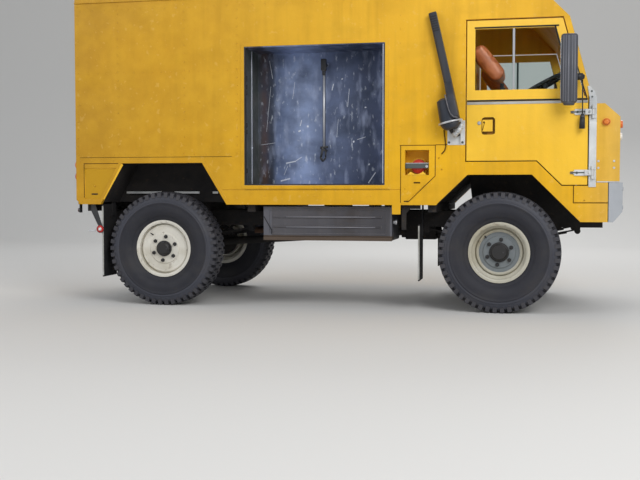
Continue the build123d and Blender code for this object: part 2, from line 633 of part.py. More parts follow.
def body_roof():
    """The roof with its rounded edges, rain gutters and the header that slopes down to the windscreen."""
    outer = body_section(0, (REAR_FACE_X, SCREEN_TOP_X), HEADER_Z) & behind_header(0)
    inner = body_section(WALL, (REAR_FACE_X - 1, SCREEN_TOP_X), HEADER_Z - 1) & behind_header(WALL)
    shell = outer - inner
    for side in (-1, 1):
        y = sorted((side * INNER_Y, side * (HALF_W + 1)))
        shell -= block((REAR_FACE_X - 1, SCREEN_TOP_X + 1), y, (HEADER_Z - 1, EAVES_Z))
    gutter = block((REAR_FACE_X, HEADER_SLOPE_X - 40), (HALF_W - 2, HALF_W + 8), (EAVES_Z, EAVES_Z + 6))
    shell += both(gutter)
    for x in VENT_X:
        shell += Pos(x, 0, ROOF_Z - 1 + (VENT_KERB_H + 1) / 2) * Cylinder(VENT_KERB_R, VENT_KERB_H + 1)
    return shell


BULKHEAD_FOOT_Z = 1000
DOORWAY_HALF = 280
DOORWAY_Z = (1260, HEADER_Z)


def load_floor():
    """The floor with its boxes over the rear wheels and the board that slopes up to the cab."""
    rear_x = REAR_FACE_X + REAR_WALL
    edge_x = CAB_REAR_X - 14
    points = [(rear_x, FLOOR_Z), (ARCH_FOOT_REAR_X, FLOOR_Z), (CAB_REAR_X, CORNER_Z),
              (CAB_REAR_X, BULKHEAD_FOOT_Z), (edge_x, BULKHEAD_FOOT_Z),
              (edge_x - (BULKHEAD_FOOT_Z - FLOOR_TOP_Z) / ARCH_REAR_SLOPE, FLOOR_TOP_Z),
              (rear_x, FLOOR_TOP_Z)]
    floor = side_plate(points, (-INNER_Y, INNER_Y))
    top = REAR_ARCH_TOP_Z + WHEEL_BOX_SHEET
    box_outline = [(REAR_ARCH_FOOT_X[0] - 8, FLOOR_Z + 1), (REAR_ARCH_TOP_X[0] - 8, top),
                   (REAR_ARCH_TOP_X[1] + 8, top), (REAR_ARCH_FOOT_X[1] + 8, FLOOR_Z + 1)]
    for side in (-1, 1):
        y_out = sorted((side * WHEEL_BOX_Y, side * INNER_Y))
        y_in = sorted((side * (WHEEL_BOX_Y + WHEEL_BOX_SHEET), side * (INNER_Y + 1)))
        floor += side_plate(box_outline, y_out)
        floor -= side_plate(REAR_ARCH, y_in)
    return floor


def wall_outline(base_z):
    """A cross-wall that fits inside the body, with its upper corners cut clear of the rounding."""
    return [(-INNER_Y, base_z), (-INNER_Y, EAVES_Z), (-ROOF_FLAT_Y, ROOF_INNER_Z),
            (ROOF_FLAT_Y, ROOF_INNER_Z), (INNER_Y, EAVES_Z), (INNER_Y, base_z)]


def bulkhead():
    wall = cross_plate(wall_outline(BULKHEAD_FOOT_Z), BULKHEAD_X)
    return wall - block((BULKHEAD_X[0] - 1, BULKHEAD_X[1] + 1), (-DOORWAY_HALF, DOORWAY_HALF), DOORWAY_Z)


REAR_BARREL_R = 9


def rear_frame():
    """The tail frame round the doors, with the fixed halves of their hinges."""
    x = (REAR_FACE_X, REAR_FACE_X + REAR_WALL)
    wall = cross_plate(wall_outline(SILL_Z), x)
    y = REAR_DOOR_Y + REAR_DOOR_GAP
    z = (REAR_DOOR_Z[0] - REAR_DOOR_GAP, REAR_DOOR_Z[1] + REAR_DOOR_GAP)
    wall -= block((x[0] - 1, x[1] + 1), (-y, y), z)
    for z in REAR_HINGE_HEIGHTS:
        for low in (z - 44, z + 22):
            leafs = block((REAR_HINGE_X - 3, REAR_FACE_X), (REAR_HINGE_Y, REAR_HINGE_Y + 60), (low, low + 22))
            foot = (REAR_HINGE_X, REAR_HINGE_Y, low)
            barrel = rod(foot, (REAR_HINGE_X, REAR_HINGE_Y, low + 22), REAR_BARREL_R)
            wall += both(leafs + barrel)
        wall += both(rod((REAR_HINGE_X, REAR_HINGE_Y, z - 45), (REAR_HINGE_X, REAR_HINGE_Y, z + 45), 4.5))
    return wall


def spare_recess():
    """The open aluminium tray that lined the spare wheel's place."""
    back = -HALF_W + RECESS_DEPTH
    tray = block(RECESS_X, (-HALF_W, back), RECESS_Z)
    x = (RECESS_X[0] + RECESS_SHEET, RECESS_X[1] - RECESS_SHEET)
    z = (RECESS_Z[0] + RECESS_SHEET, RECESS_Z[1] - RECESS_SHEET)
    return tray - block(x, (-HALF_W - 1, back - RECESS_SHEET), z)


CLAMP_Z = (RECESS_Z[0] + 202, RECESS_Z[1] - 70)
CLAMP_OUT = 95


def clamp_rod():
    """The bar that clamped the spare wheel, on two posts."""
    back = -HALF_W + RECESS_DEPTH - RECESS_SHEET
    y = back - CLAMP_OUT
    bar = rod((MID_X, y, CLAMP_Z[0]), (MID_X, y, CLAMP_Z[1]), 8)
    for z in (CLAMP_Z[0] + 10, CLAMP_Z[1] - 10):
        bar += rod((MID_X, y, z), (MID_X, back, z), 14)
    return bar


def filler_cap():
    """A domed cap on the filler neck."""
    profile = [(0, 0), (0, CAP_R - 10), (40, CAP_R - 10), (40, CAP_R), (60, CAP_R), (69, CAP_R - 8),
               (75, CAP_R - 24), (77, 0)]
    back = -HALF_W + POCKET_DEPTH - POCKET_SHEET
    return Pos(CAP_X, back, CAP_Z) * Rot(0, 0, -90) * lathe(profile)


# Cab

TOE_X = FASCIA_X - 132
TOE_Z = FOOT_WELL_Z + 80


def arch_panels():
    """The panels round the front wheel arches, below the doors and the fascia."""
    low = DOOR_LOW_Z - DOOR_GAP + 1
    high = DOOR_HIGH_Z - DOOR_GAP + 1
    points = [(CAB_REAR_X, CORNER_Z), (ARCH_TOP_REAR_X, ARCH_TOP_Z), (ARCH_TOP_FRONT_X, ARCH_TOP_Z),
              (ARCH_FOOT_FRONT_X, VALANCE_Z), (VALANCE_FRONT_X, VALANCE_Z),
              (VALANCE_FRONT_X, FASCIA_Z), (POST_FRONT_X, FASCIA_Z), (POST_FRONT_X, low),
              (DOOR_SLANT_FRONT_X - 3, low), (DOOR_SLANT_REAR_X - 3, high), (CAB_REAR_X, high)]
    panel = side_plate(points, (INNER_Y, HALF_W))
    seam_y = (HALF_W - SEAM_DEPTH, HALF_W + 1)
    panel -= block((VALANCE_SEAM_X, VALANCE_FRONT_X + 1), seam_y, (VALANCE_SEAM_Z, VALANCE_SEAM_Z + SEAM_W))
    panel -= block((VALANCE_SEAM_X, VALANCE_SEAM_X + SEAM_W), seam_y, (VALANCE_SEAM_Z, low + 1))
    return both(panel)


def cab_floor():
    """Foot wells and inner arches on both sides of the engine bay."""
    front_x = FASCIA_X - FASCIA_T
    top = [(CAB_REAR_X, ARCH_FLOOR_Z), (DOOR_SLANT_REAR_X + 2, ARCH_FLOOR_Z),
           (DOOR_SLANT_FRONT_X + 2, FOOT_WELL_Z), (TOE_X, FOOT_WELL_Z), (front_x, TOE_Z)]
    under = [(front_x, TOE_Z - SHEET - 5), (TOE_X + 5, FOOT_WELL_Z - SHEET)]
    deck = side_plate(top + under + [(DOOR_SLANT_FRONT_X - 6, FOOT_WELL_Z - SHEET),
                                     (DOOR_SLANT_REAR_X - 6, ARCH_FLOOR_Z - SHEET),
                                     (CAB_REAR_X, ARCH_FLOOR_Z - SHEET)], (TUNNEL_Y, INNER_Y))
    wall = side_plate(top + under + [(TOE_X + 5, VALANCE_Z), (CAB_REAR_X + 40, VALANCE_Z),
                                     (CAB_REAR_X, CORNER_Z + 5)], (TUNNEL_Y, TUNNEL_Y + SHEET))
    return both(deck + wall)


def cab_front():
    """The fascia with its returns, the shelf under the windscreen and the beam behind it."""
    outer = [(POST_FRONT_X, FASCIA_Z), (FASCIA_X, FASCIA_Z), (FASCIA_X, CHAMFER_Z),
             (CHAMFER_X, SCUTTLE_Z), (POST_FRONT_X, SCUTTLE_Z)]
    inner = [(POST_FRONT_X - 1, FASCIA_Z - 1), (FASCIA_X - FASCIA_T, FASCIA_Z - 1),
             (FASCIA_X - FASCIA_T, CHAMFER_Z - 10), (CHAMFER_X - 9, SCUTTLE_Z - FASCIA_T),
             (POST_FRONT_X - 1, SCUTTLE_Z - FASCIA_T)]
    shell = side_plate(outer, (-HALF_W, HALF_W)) - side_plate(inner, (-INNER_Y, INNER_Y))
    shell += block((POST_REAR_X, POST_FRONT_X), (-INNER_Y, INNER_Y), (SCUTTLE_Z - FASCIA_T, SCREEN_BASE_Z))
    x = (FASCIA_X - FASCIA_T - 1, FASCIA_X + 1)
    shell -= block(x, (-GRILLE_HALF, GRILLE_HALF), GRILLE_Z)
    for y in (-LAMP_Y, LAMP_Y):
        shell -= rod((x[0], y, LAMP_Z), (x[1], y, LAMP_Z), LAMP_R)
    return shell


def grille():
    """A frame with a net of thin bars."""
    x = (FASCIA_X - FASCIA_T, FASCIA_X)
    half = GRILLE_HALF - GRILLE_BORDER
    low, high = GRILLE_Z[0] + GRILLE_BORDER, GRILLE_Z[1] - GRILLE_BORDER
    frame = block(x, (-GRILLE_HALF, GRILLE_HALF), GRILLE_Z)
    frame -= block((x[0] - 1, x[1] + 1), (-half, half), (low, high))
    bars = []
    bar_x = (x[0] + 8, x[0] + 14)
    upright_count, cross_count = 19, 8
    for number in range(1, upright_count):
        y = -half + number * 2 * half / upright_count
        bars.append(block(bar_x, (y - 3, y + 3), (low - 1, high + 1)))
    for number in range(1, cross_count):
        z = low + number * (high - low) / cross_count
        bars.append(block(bar_x, (-half - 1, half + 1), (z - 3, z + 3)))
    return fuse([frame] + bars)


def headlamps():
    """Round lamps with a bezel that sits on the fascia."""
    profile = [(0, 0), (0, LAMP_R - 0.4), (FASCIA_T, LAMP_R - 0.4), (FASCIA_T, LAMP_R + 10),
               (FASCIA_T + 8, LAMP_R + 8), (FASCIA_T + 12, LAMP_R - 8), (FASCIA_T + 19, LAMP_R - 50),
               (FASCIA_T + 20, 0)]
    return both(Pos(FASCIA_X - FASCIA_T, LAMP_Y, LAMP_Z) * lathe(profile))


MARKER_Y = HALF_W - 70
REFLECTOR_X = REAR_FACE_X + 178.5
REFLECTOR_Z = FLOOR_Z - 211


def marker_lamps():
    """Front, side and rear lamps, and the low reflector behind each rear wheel."""
    lamps = []
    # Front lamps: height, standing out
    for z, out in ((1349, 20), (1263, 16)):
        lamps.append(rod((FASCIA_X, MARKER_Y, z), (FASCIA_X + out, MARKER_Y, z), 26))
    side = extrude(Plane.XZ * Ellipse(27, 24), 15, dir=(0, 1, 0))
    lamps.append(Pos(FRONT_AXLE_X + 728, HALF_W, 1363) * side)
    # Rear lamps: height
    for z in (1000, 1090):
        lamps.append(rod((REAR_FACE_X, MARKER_Y, z), (REAR_FACE_X - 24, MARKER_Y, z), 34))
    x = REAR_FACE_X
    bracket = block((x, x + 6), (MARKER_Y - 20, MARKER_Y + 20), (SILL_Z - 66, SILL_Z))
    lamps.append(bracket + rod((x, MARKER_Y, SILL_Z - 47), (x - 14, MARKER_Y, SILL_Z - 47), 17))
    end = INNER_Y - 18
    arm = [(REFLECTOR_X - 76, RAIL_Z[1]), (REFLECTOR_X - 76, FLOOR_Z - 6), (REFLECTOR_X - 46, FLOOR_Z - 6),
           (REFLECTOR_X + 16, REFLECTOR_Z + 20), (REFLECTOR_X + 16, REFLECTOR_Z - 30),
           (REFLECTOR_X - 16, REFLECTOR_Z - 30), (REFLECTOR_X - 16, REFLECTOR_Z + 20)]
    disc = rod((REFLECTOR_X, end + 5, REFLECTOR_Z), (REFLECTOR_X, end + 14, REFLECTOR_Z), 30)
    lamps.append(side_plate(arm, (end, end + 6)) + disc)
    return both(apart(lamps))


def screen_x(z):
    """The front face of the windscreen frame at a height."""
    return SCREEN_BASE_X + (SCREEN_TOP_X - SCREEN_BASE_X) * (z - SCREEN_BASE_Z) / (HEADER_Z - SCREEN_BASE_Z)


SCREEN_PANE_Y = (22, HALF_W - 60)


def windscreen_frame():
    """The two-pane frame between the shelf and the header."""
    outline = [(SCREEN_BASE_X, SCREEN_BASE_Z), (SCREEN_TOP_X, HEADER_Z), (SCREEN_TOP_X - SCREEN_T, HEADER_Z),
               (SCREEN_BASE_X - SCREEN_T, SCREEN_BASE_Z)]
    frame = side_plate(outline, (-HALF_W, HALF_W))
    hole = block((SCREEN_TOP_X - 100, SCREEN_BASE_X + 100), SCREEN_PANE_Y, SCREEN_PANE_Z)
    return frame - both(hole)


def fixed_glass():
    """The windscreen panes and the window in the left side."""
    low, high = SCREEN_PANE_Z
    outline = [(screen_x(low) - 18, low), (screen_x(high) - 18, high),
               (screen_x(high) - 18 - GLASS_T, high), (screen_x(low) - 18 - GLASS_T, low)]
    side = block(SIDE_WINDOW_X, (HALF_W - 14 - GLASS_T, HALF_W - 14), LOAD_WINDOW_Z)
    return both(side_plate(outline, SCREEN_PANE_Y)) + side


BUMPER_CHAMFER = (62, 73)


def front_bumper():
    """A galvanised channel, open behind, with brackets that meet the rails."""
    x0, x1 = BUMPER_X
    z0, z1 = BUMPER_Z
    slope_x, slope_z = x1 - BUMPER_CHAMFER[0], z0 + BUMPER_CHAMFER[1]
    outer = [(x0, z0), (slope_x, z0), (x1, slope_z), (x1, z1), (x0, z1)]
    inner = [(x0 - 1, z0 + BUMPER_SHEET), (slope_x - 4, z0 + BUMPER_SHEET), (x1 - BUMPER_SHEET, slope_z + 4),
             (x1 - BUMPER_SHEET, z1 - BUMPER_SHEET), (x0 - 1, z1 - BUMPER_SHEET)]
    beam = side_plate(outer, (-HALF_W, HALF_W))
    beam -= side_plate(inner, (-HALF_W + BUMPER_SHEET, HALF_W - BUMPER_SHEET))
    for side in (-1, 1):
        y = sorted((side * RAIL_Y[0], side * RAIL_Y[1]))
        horn = block((x0, x1 - BUMPER_SHEET + 1), y, (z0 + 1, RAIL_Z[1]))
        beam += horn & side_plate(outer, (-HALF_W, HALF_W))
    return beam


POST_OUT = 5


def hinge_posts():
    """The galvanised corner posts with the fixed halves of the door hinges and a gusset at the pillar."""
    out_y = (HALF_W, HALF_W + POST_OUT)
    post = block((POST_REAR_X, POST_FRONT_X), (INNER_Y, HALF_W + POST_OUT), (DOOR_LOW_Z - 7, SCREEN_BASE_Z))
    post += block((POST_REAR_X, POST_FRONT_X), out_y, (POST_FOOT_Z, DOOR_LOW_Z))
    gusset = [(POST_REAR_X, SCREEN_BASE_Z - 15), (POST_FRONT_X - 9, SCREEN_BASE_Z - 15),
              (POST_FRONT_X - 11, SCREEN_BASE_Z + 26), (POST_REAR_X + 1, SCREEN_BASE_Z + 68),
              (POST_REAR_X - 14, SCREEN_BASE_Z + 68)]
    post += side_plate(gusset, out_y)
    for z in HINGE_HEIGHTS:
        for low in (z - 45, z + 21):
            leafs = block((HINGE_X - 9, POST_FRONT_X), (HALF_W + POST_OUT - 1, HINGE_Y - 5), (low, low + 24))
            barrel = rod((HINGE_X, HINGE_Y, low), (HINGE_X, HINGE_Y, low + 24), 10)
            post += leafs + barrel
        post += rod((HINGE_X, HINGE_Y, z - 46), (HINGE_X, HINGE_Y, z + 46), HINGE_PIN_R)
    return both(post)


def seat(y):
    """A seat on its box, and the back that leans well to the rear on two tubes."""
    half = SEAT_W / 2 - 5
    pad_low = SEAT_TOP_Z - 120
    box_y = (y - half + 25, y + half - 25)
    box = block((CAB_REAR_X + 60, FRONT_AXLE_X + 210), box_y, (ARCH_FLOOR_Z, pad_low))
    cushion = block((CAB_REAR_X + 45, FRONT_AXLE_X + 250), (y - half, y + half), (pad_low, SEAT_TOP_Z))
    cushion = fillet(cushion.edges().filter_by(Axis.Y).group_by(Axis.Z)[-1], 35)
    pad = block((-SEAT_PAD_T / 2, SEAT_PAD_T / 2), (-half, half), (0, SEAT_BACK_LEN))
    pad = fillet(pad.edges().filter_by(Axis.Y), 28)
    pad = Pos(FRONT_AXLE_X + 14, y, SEAT_TOP_Z + 211) * Rot(0, -SEAT_LEAN, 0) * pad
    parts = [box, cushion, pad]
    for tube_y in (y - half + 60, y + half - 60):
        tube = rod((FRONT_AXLE_X + 10, tube_y, SEAT_TOP_Z), (FRONT_AXLE_X + 10, tube_y, SEAT_TOP_Z + 235), 14)
        parts.append(tube - pad)
    return parts


def seats():
    return apart(seat(-SEAT_Y) + seat(SEAT_Y))


def engine_cover():
    """The lid over the engine between the seats."""
    x = (CAB_REAR_X, FRONT_AXLE_X + 560)
    cover = block(x, (-TUNNEL_Y, TUNNEL_Y), (ARCH_FLOOR_Z - 60, ENGINE_COVER_Z))
    cover = chamfer(cover.edges().filter_by(Axis.X).group_by(Axis.Z)[-1], 60)
    return cover - block((x[0] - 1, x[1] - 25), (-TUNNEL_Y + 25, TUNNEL_Y - 25), (ARCH_FLOOR_Z - 61, ENGINE_COVER_Z - 30))


def dashboard():
    """The shelf under the windscreen with the instrument box before the driver."""
    half = INNER_Y - 60
    shelf = block((POST_REAR_X - 90, POST_REAR_X), (-half, half), (SCUTTLE_Z - 80, SCREEN_BASE_Z - 25))
    box_x = POST_REAR_X - 150
    dials_z = (SCUTTLE_Z - 70, SCREEN_BASE_Z + 5)
    dials = block((box_x, POST_REAR_X - 90), (-SEAT_Y - 150, -SEAT_Y + 150), dials_z)
    return shelf + dials


def steering_wheel():
    """The wheel, flat and far forward, on a column that stands in the foot well."""
    tilt = Pos(STEERING_X, -SEAT_Y, STEERING_Z) * Rot(0, -STEERING_TILT, 0)
    spokes = rod((-200, 0, 0), (200, 0, 0), 9) + rod((0, -200, 0), (0, 200, 0), 9)
    wheel = tilt * (Torus(205, 14) + spokes + Pos(0, 0, -10) * Cylinder(38, 40))
    length = (STEERING_Z - FOOT_WELL_Z - 50) / math.cos(math.radians(STEERING_TILT))
    foot_x = STEERING_X + length * math.sin(math.radians(STEERING_TILT))
    foot = block((foot_x - 38, foot_x + 38), (-SEAT_Y - 45, -SEAT_Y + 45), (FOOT_WELL_Z, FOOT_WELL_Z + 75))
    column = tilt * rod((0, 0, -30), (0, 0, -length), 24) - foot
    return apart([wheel, column, foot])


def mirror_head():
    """The left mirror: a tall head on a stay that stands on the front edge of the door."""
    head = block((MIRROR_X - 56, MIRROR_X + 56), MIRROR_Y, MIRROR_Z)
    head = fillet(head.edges(), 22)
    knee = (STAY_X - 45, STAY_Y + 30, STAY_KNEE_Z)
    arm = rod((STAY_X, STAY_Y, STAY_Z[0]), (STAY_X, STAY_Y, STAY_Z[1]), 6)
    arm += rod((STAY_X, STAY_Y, STAY_Z[1] - 15), knee, 6)
    arm += rod(knee, (MIRROR_X + 20, MIRROR_Y[0] + 25, knee[2]), 12)
    for z in (STAY_Z[0] + 12, STAY_Z[1] - 60):
        arm += rod((STAY_X, HALF_W, z), (STAY_X, STAY_Y + 8, z), 12)
    return head + arm


DUCT_LEAN = 13
DUCT_W = 55.5
DUCT_OUT = 62
DUCT_FOOT = (FRONT_AXLE_X - 311, 1434)
DUCT_LEN = 735
POT_CENTRE = (FRONT_AXLE_X - 340, -HALF_W - 82, 1372)  # middle of the clamp band


def air_intake():
    """The raised duct behind the right door: it leans back and feeds a round pot with a clamped cap."""
    half = DUCT_W / 2
    section = Polygon((-half, 0), (half, 0), (half, -DUCT_OUT), (-half + 16, -DUCT_OUT),
                      (-half, -DUCT_OUT + 16), align=None)
    upright = extrude(section, DUCT_LEN, dir=(0, 0, 1))
    duct = Pos(DUCT_FOOT[0], -HALF_W, DUCT_FOOT[1]) * Rot(0, -DUCT_LEAN, 0) * upright
    # The pot from its foot to its dome: distance along its axis, radius
    profile = [(-51, 0), (-51, 45), (-42, 57), (-18, 72), (-7, 72), (-7, 80), (5, 80), (5, 74), (158, 64),
               (172, 42), (178, 0)]
    pot = Pos(*POT_CENTRE) * Rot(0, -DUCT_LEAN - 90, 0) * lathe(profile)
    return duct + pot


def intake_bracket():
    """The galvanised plate behind the intake pot, with its bent ear."""
    x = (FRONT_AXLE_X - 367, CAB_REAR_X - 2)
    plate = block(x, (-HALF_W - 3, -HALF_W), (1214, 1388))
    plate -= block((x[0] - 1, x[0] + 42), (-HALF_W - 4, -HALF_W + 1), (1330, 1389))
    return plate + block((x[1] - 30, x[1] - 26), (-HALF_W - 30, -HALF_W), (1225, 1300))


FLAP_Y = (WHEEL_Y - 134, HALF_W - 56)


def mudflaps():
    """Rubber flaps behind the wheels, each on an arm under the floor."""
    flaps = []
    # Station along X, bottom and top
    for x, low, high in ((FRONT_AXLE_X - 576, 225, 640), (REAR_AXLE_X - 490, 215, SILL_Z)):
        flaps.append(block((x - 4, x + 4), FLAP_Y, (low, high)))
        flaps.append(block((x + 4, x + 12), (FLAP_Y[0] + 30, FLAP_Y[0] + 90), (high - 90, FLOOR_Z)))
    return both(fuse(flaps))


def roof_vents():
    """Two round vents: each has a flange on the roof's kerb, a neck and a cap that keeps the rain out."""
    vents = []
    foot = ROOF_Z + VENT_KERB_H
    for x in VENT_X:
        flange = Pos(x, 0, foot + 4) * Cylinder(VENT_FLANGE_R, 8)
        neck = Pos(x, 0, foot + 19) * Cylinder(VENT_FLANGE_R - 55, 26)
        cap = Pos(x, 0, foot + 35) * Cylinder(VENT_FLANGE_R - 10, 16)
        vents.append(flange + neck + chamfer(cap.edges().group_by(Axis.Z)[-1], 6))
    return fuse(vents)


# Doors

DOOR_Y = (HALF_W - DOOR_T, HALF_W)
FRAME_Y = (HALF_W - 30, HALF_W - 4)
WINDOW_EDGE = 57
WINDOW_BAR_X = FRONT_AXLE_X + 94
HANDLE_X = (FRONT_AXLE_X - 127, FRONT_AXLE_X - 32)
HANDLE_Z = (1285, 1407)
STRAP_HALF = 19
STRAP_OUT = 6


def door_front_x(z):
    """The front upper edge of the door, parallel to the windscreen."""
    return screen_x(z) - SCREEN_T - DOOR_GAP


DOOR_WINDOW = [(DOOR_REAR_X + WINDOW_EDGE, WINDOW_Z), (door_front_x(WINDOW_Z) - 70, WINDOW_Z),
               (door_front_x(WINDOW_TOP_Z) - 70, WINDOW_TOP_Z), (DOOR_REAR_X + WINDOW_EDGE, WINDOW_TOP_Z)]


def hinge_strap(z):
    """The door's half of a hinge: a tapered strap, the offset to the pin and the eye round it."""
    front = DOOR_FRONT_X
    outline = [(front - 117, z - 8), (front - 51, z - 14), (front, z - STRAP_HALF), (front, z + STRAP_HALF),
               (front - 51, z + 14), (front - 117, z + 8)]
    limits = (z - STRAP_HALF, z + STRAP_HALF)
    strap = side_plate(outline, (HALF_W - 1, HALF_W + STRAP_OUT))
    strap += block((front - 20, front), (HALF_W, HINGE_Y + 5), limits)
    strap += block((front - 1, HINGE_X), (HINGE_Y - 4, HINGE_Y + 5), limits)
    strap += rod((HINGE_X, HINGE_Y, limits[0]), (HINGE_X, HINGE_Y, limits[1]), 9.5)
    return strap - rod((HINGE_X, HINGE_Y, z - 20), (HINGE_X, HINGE_Y, z + 20), HINGE_PIN_R + 0.4)


def cab_door():
    """The left cab door: a lower panel with its bottom cut over the wheel, and a window frame."""
    low = [(DOOR_REAR_X, DOOR_HIGH_Z), (DOOR_SLANT_REAR_X, DOOR_HIGH_Z), (DOOR_SLANT_FRONT_X, DOOR_LOW_Z),
           (DOOR_FRONT_X, DOOR_LOW_Z), (DOOR_FRONT_X, WAIST_Z), (DOOR_REAR_X, WAIST_Z)]
    high = [(DOOR_REAR_X, WAIST_Z), (DOOR_FRONT_X, WAIST_Z), (DOOR_FRONT_X, SCREEN_BASE_Z),
            (door_front_x(SCREEN_BASE_Z), SCREEN_BASE_Z), (door_front_x(DOOR_TOP_Z), DOOR_TOP_Z),
            (DOOR_REAR_X, DOOR_TOP_Z)]
    door = side_plate(low, DOOR_Y) + side_plate(high, FRAME_Y)
    door -= side_plate(DOOR_WINDOW, (HALF_W - 50, HALF_W + 1))
    bar_x = (WINDOW_BAR_X - 8, WINDOW_BAR_X + 8)
    door += block(bar_x, (HALF_W - 12, HALF_W - 5), (WINDOW_Z - 1, WINDOW_TOP_Z + 1))
    pocket = block(HANDLE_X, (HALF_W - 20, HALF_W + 1), HANDLE_Z)
    door -= fillet(pocket.edges().filter_by(Axis.Y), 22)
    paddle_z = (HANDLE_Z[1] - 52, HANDLE_Z[1] - 18)
    door += block((HANDLE_X[0] + 8, HANDLE_X[1] - 26), (HALF_W - 21, HALF_W - 5), paddle_z)
    door += rod((HANDLE_X[0] - 16, HALF_W - 1, 1367), (HANDLE_X[0] - 16, HALF_W + 5, 1367), 13)
    for z in HINGE_HEIGHTS:
        door += hinge_strap(z)
    return door


def cab_glass():
    """The sliding window of the left door: two panes that overlap behind the bar."""
    rear = side_plate(DOOR_WINDOW, (HALF_W - 22, HALF_W - 22 + GLASS_T))
    front = side_plate(DOOR_WINDOW, (HALF_W - 30, HALF_W - 30 + GLASS_T))
    z = (WINDOW_Z - 1, WINDOW_TOP_Z + 1)
    rear &= block((DOOR_REAR_X, WINDOW_BAR_X + 14), (0, HALF_W), z)
    front &= block((WINDOW_BAR_X - 14, DOOR_FRONT_X), (0, HALF_W), z)
    return apart([rear, front])


REAR_STRAP_Y = REAR_DOOR_Y - 160


def rear_door():
    """The left rear door with its window, hinge straps and handle."""
    x = (REAR_FACE_X, REAR_FACE_X + REAR_WALL)
    door = block(x, (4, REAR_DOOR_Y), REAR_DOOR_Z)
    door -= block((x[0] - 1, x[1] + 1), REAR_WINDOW_Y, LOAD_WINDOW_Z)
    for z in REAR_HINGE_HEIGHTS:
        limits = (z - 20, z + 20)
        strap = block((REAR_HINGE_X + 4, REAR_FACE_X), (REAR_STRAP_Y, REAR_DOOR_Y), limits)
        strap += block((REAR_HINGE_X - 3, REAR_HINGE_X + 4), (REAR_STRAP_Y, REAR_HINGE_Y), limits)
        eye = Pos(REAR_HINGE_X, REAR_HINGE_Y, z)
        strap += eye * Cylinder(REAR_BARREL_R - 0.5, 40)
        strap -= eye * Cylinder(5, 42)
        door += strap
    handle_x = REAR_FACE_X - 26
    for z in (1290, 1470):
        door += rod((REAR_FACE_X, 70, z), (handle_x, 70, z), 7)
    return door + rod((handle_x, 70, 1280), (handle_x, 70, 1480), 8)


def rear_glass():
    return block((REAR_FACE_X + 17, REAR_FACE_X + 17 + GLASS_T), REAR_WINDOW_Y, LOAD_WINDOW_Z)


def rear_step():
    """The folding step, hanging down from its hinge bar."""
    plate = block((STEP_HINGE_X - STEP_T / 2, STEP_HINGE_X + STEP_T / 2), (-STEP_HALF, STEP_HALF),
                  (STEP_HINGE_Z - STEP_DEPTH, STEP_HINGE_Z - 24))
    hole_x = (STEP_HINGE_X - STEP_T, STEP_HINGE_X + STEP_T)
    for z in (STEP_HINGE_Z - 80, STEP_HINGE_Z - 130, STEP_HINGE_Z - 180):
        for y in range(-300, 301, 150):
            plate -= block(hole_x, (y - 50, y + 50), (z - 12, z + 12))
    for side in (-1, 1):
        y = side * (STEP_LUG_Y - 20)
        arm_x = (STEP_HINGE_X - 8, STEP_HINGE_X + 8)
        plate += block(arm_x, (y - 6, y + 6), (STEP_HINGE_Z - 40, STEP_HINGE_Z + 8))
        y = side * STEP_LUG_Y
        plate += rod((STEP_HINGE_X, y - 26, STEP_HINGE_Z), (STEP_HINGE_X, y + 26, STEP_HINGE_Z), STEP_PIN_R)
    return plate


WHEELS = {"front_right": (-1, FRONT_AXLE_X, FRONT_DISC), "front_left": (1, FRONT_AXLE_X, FRONT_DISC),
          "rear_right": (-1, REAR_AXLE_X, REAR_DISC), "rear_left": (1, REAR_AXLE_X, REAR_DISC)}

NODES = {
    "chassis_frame": chassis_frame, "leaf_springs": leaf_springs, "front_axle": front_axle,
    "rear_axle": rear_axle, "drivetrain": drivetrain, "propshafts": propshafts, "exhaust": exhaust,
    "side_tank": side_tank, "tow_pintle": tow_pintle, "body_side_right": body_side_right,
    "body_side_left": body_side_left, "body_roof": body_roof, "load_floor": load_floor,
    "bulkhead": bulkhead, "rear_frame": rear_frame, "spare_recess": spare_recess,
    "clamp_rod": clamp_rod, "filler_cap": filler_cap, "arch_panels": arch_panels,
    "cab_floor": cab_floor, "cab_front": cab_front, "grille": grille, "headlamps": headlamps,
    "marker_lamps": marker_lamps, "windscreen_frame": windscreen_frame, "fixed_glass": fixed_glass,
    "front_bumper": front_bumper, "hinge_posts": hinge_posts, "seats": seats, "dashboard": dashboard,
    "engine_cover": engine_cover, "steering_wheel": steering_wheel, "mirror_left": mirror_head,
    "mirror_right": lambda: mirror_y(mirror_head()), "intake_bracket": intake_bracket,
    "air_intake": air_intake, "mudflaps": mudflaps, "roof_vents": roof_vents,
    "cab_door_left": cab_door, "cab_door_right": lambda: mirror_y(cab_door()),
    "cab_glass_left": cab_glass, "cab_glass_right": lambda: mirror_y(cab_glass()),
    "rear_door_left": rear_door, "rear_door_right": lambda: mirror_y(rear_door()),
    "rear_glass_left": rear_glass, "rear_glass_right": lambda: mirror_y(rear_glass()),
    "rear_step": rear_step, "knuckle_left": lambda: knuckle(1), "knuckle_right": lambda: knuckle(-1),
    "track_rod": track_rod,
}

os.makedirs("parts", exist_ok=True)
for name, make in NODES.items():
    export_step(make(), f"parts/{name}.step")
for name, (side, axle_x, disc) in WHEELS.items():
    export_step(rim(side, axle_x, disc), f"parts/rim_{name}.step")
    export_step(tyre(side, axle_x), f"parts/tyre_{name}.step")
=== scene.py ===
import math

import bpy
import bmesh
from mathutils import Matrix, Vector


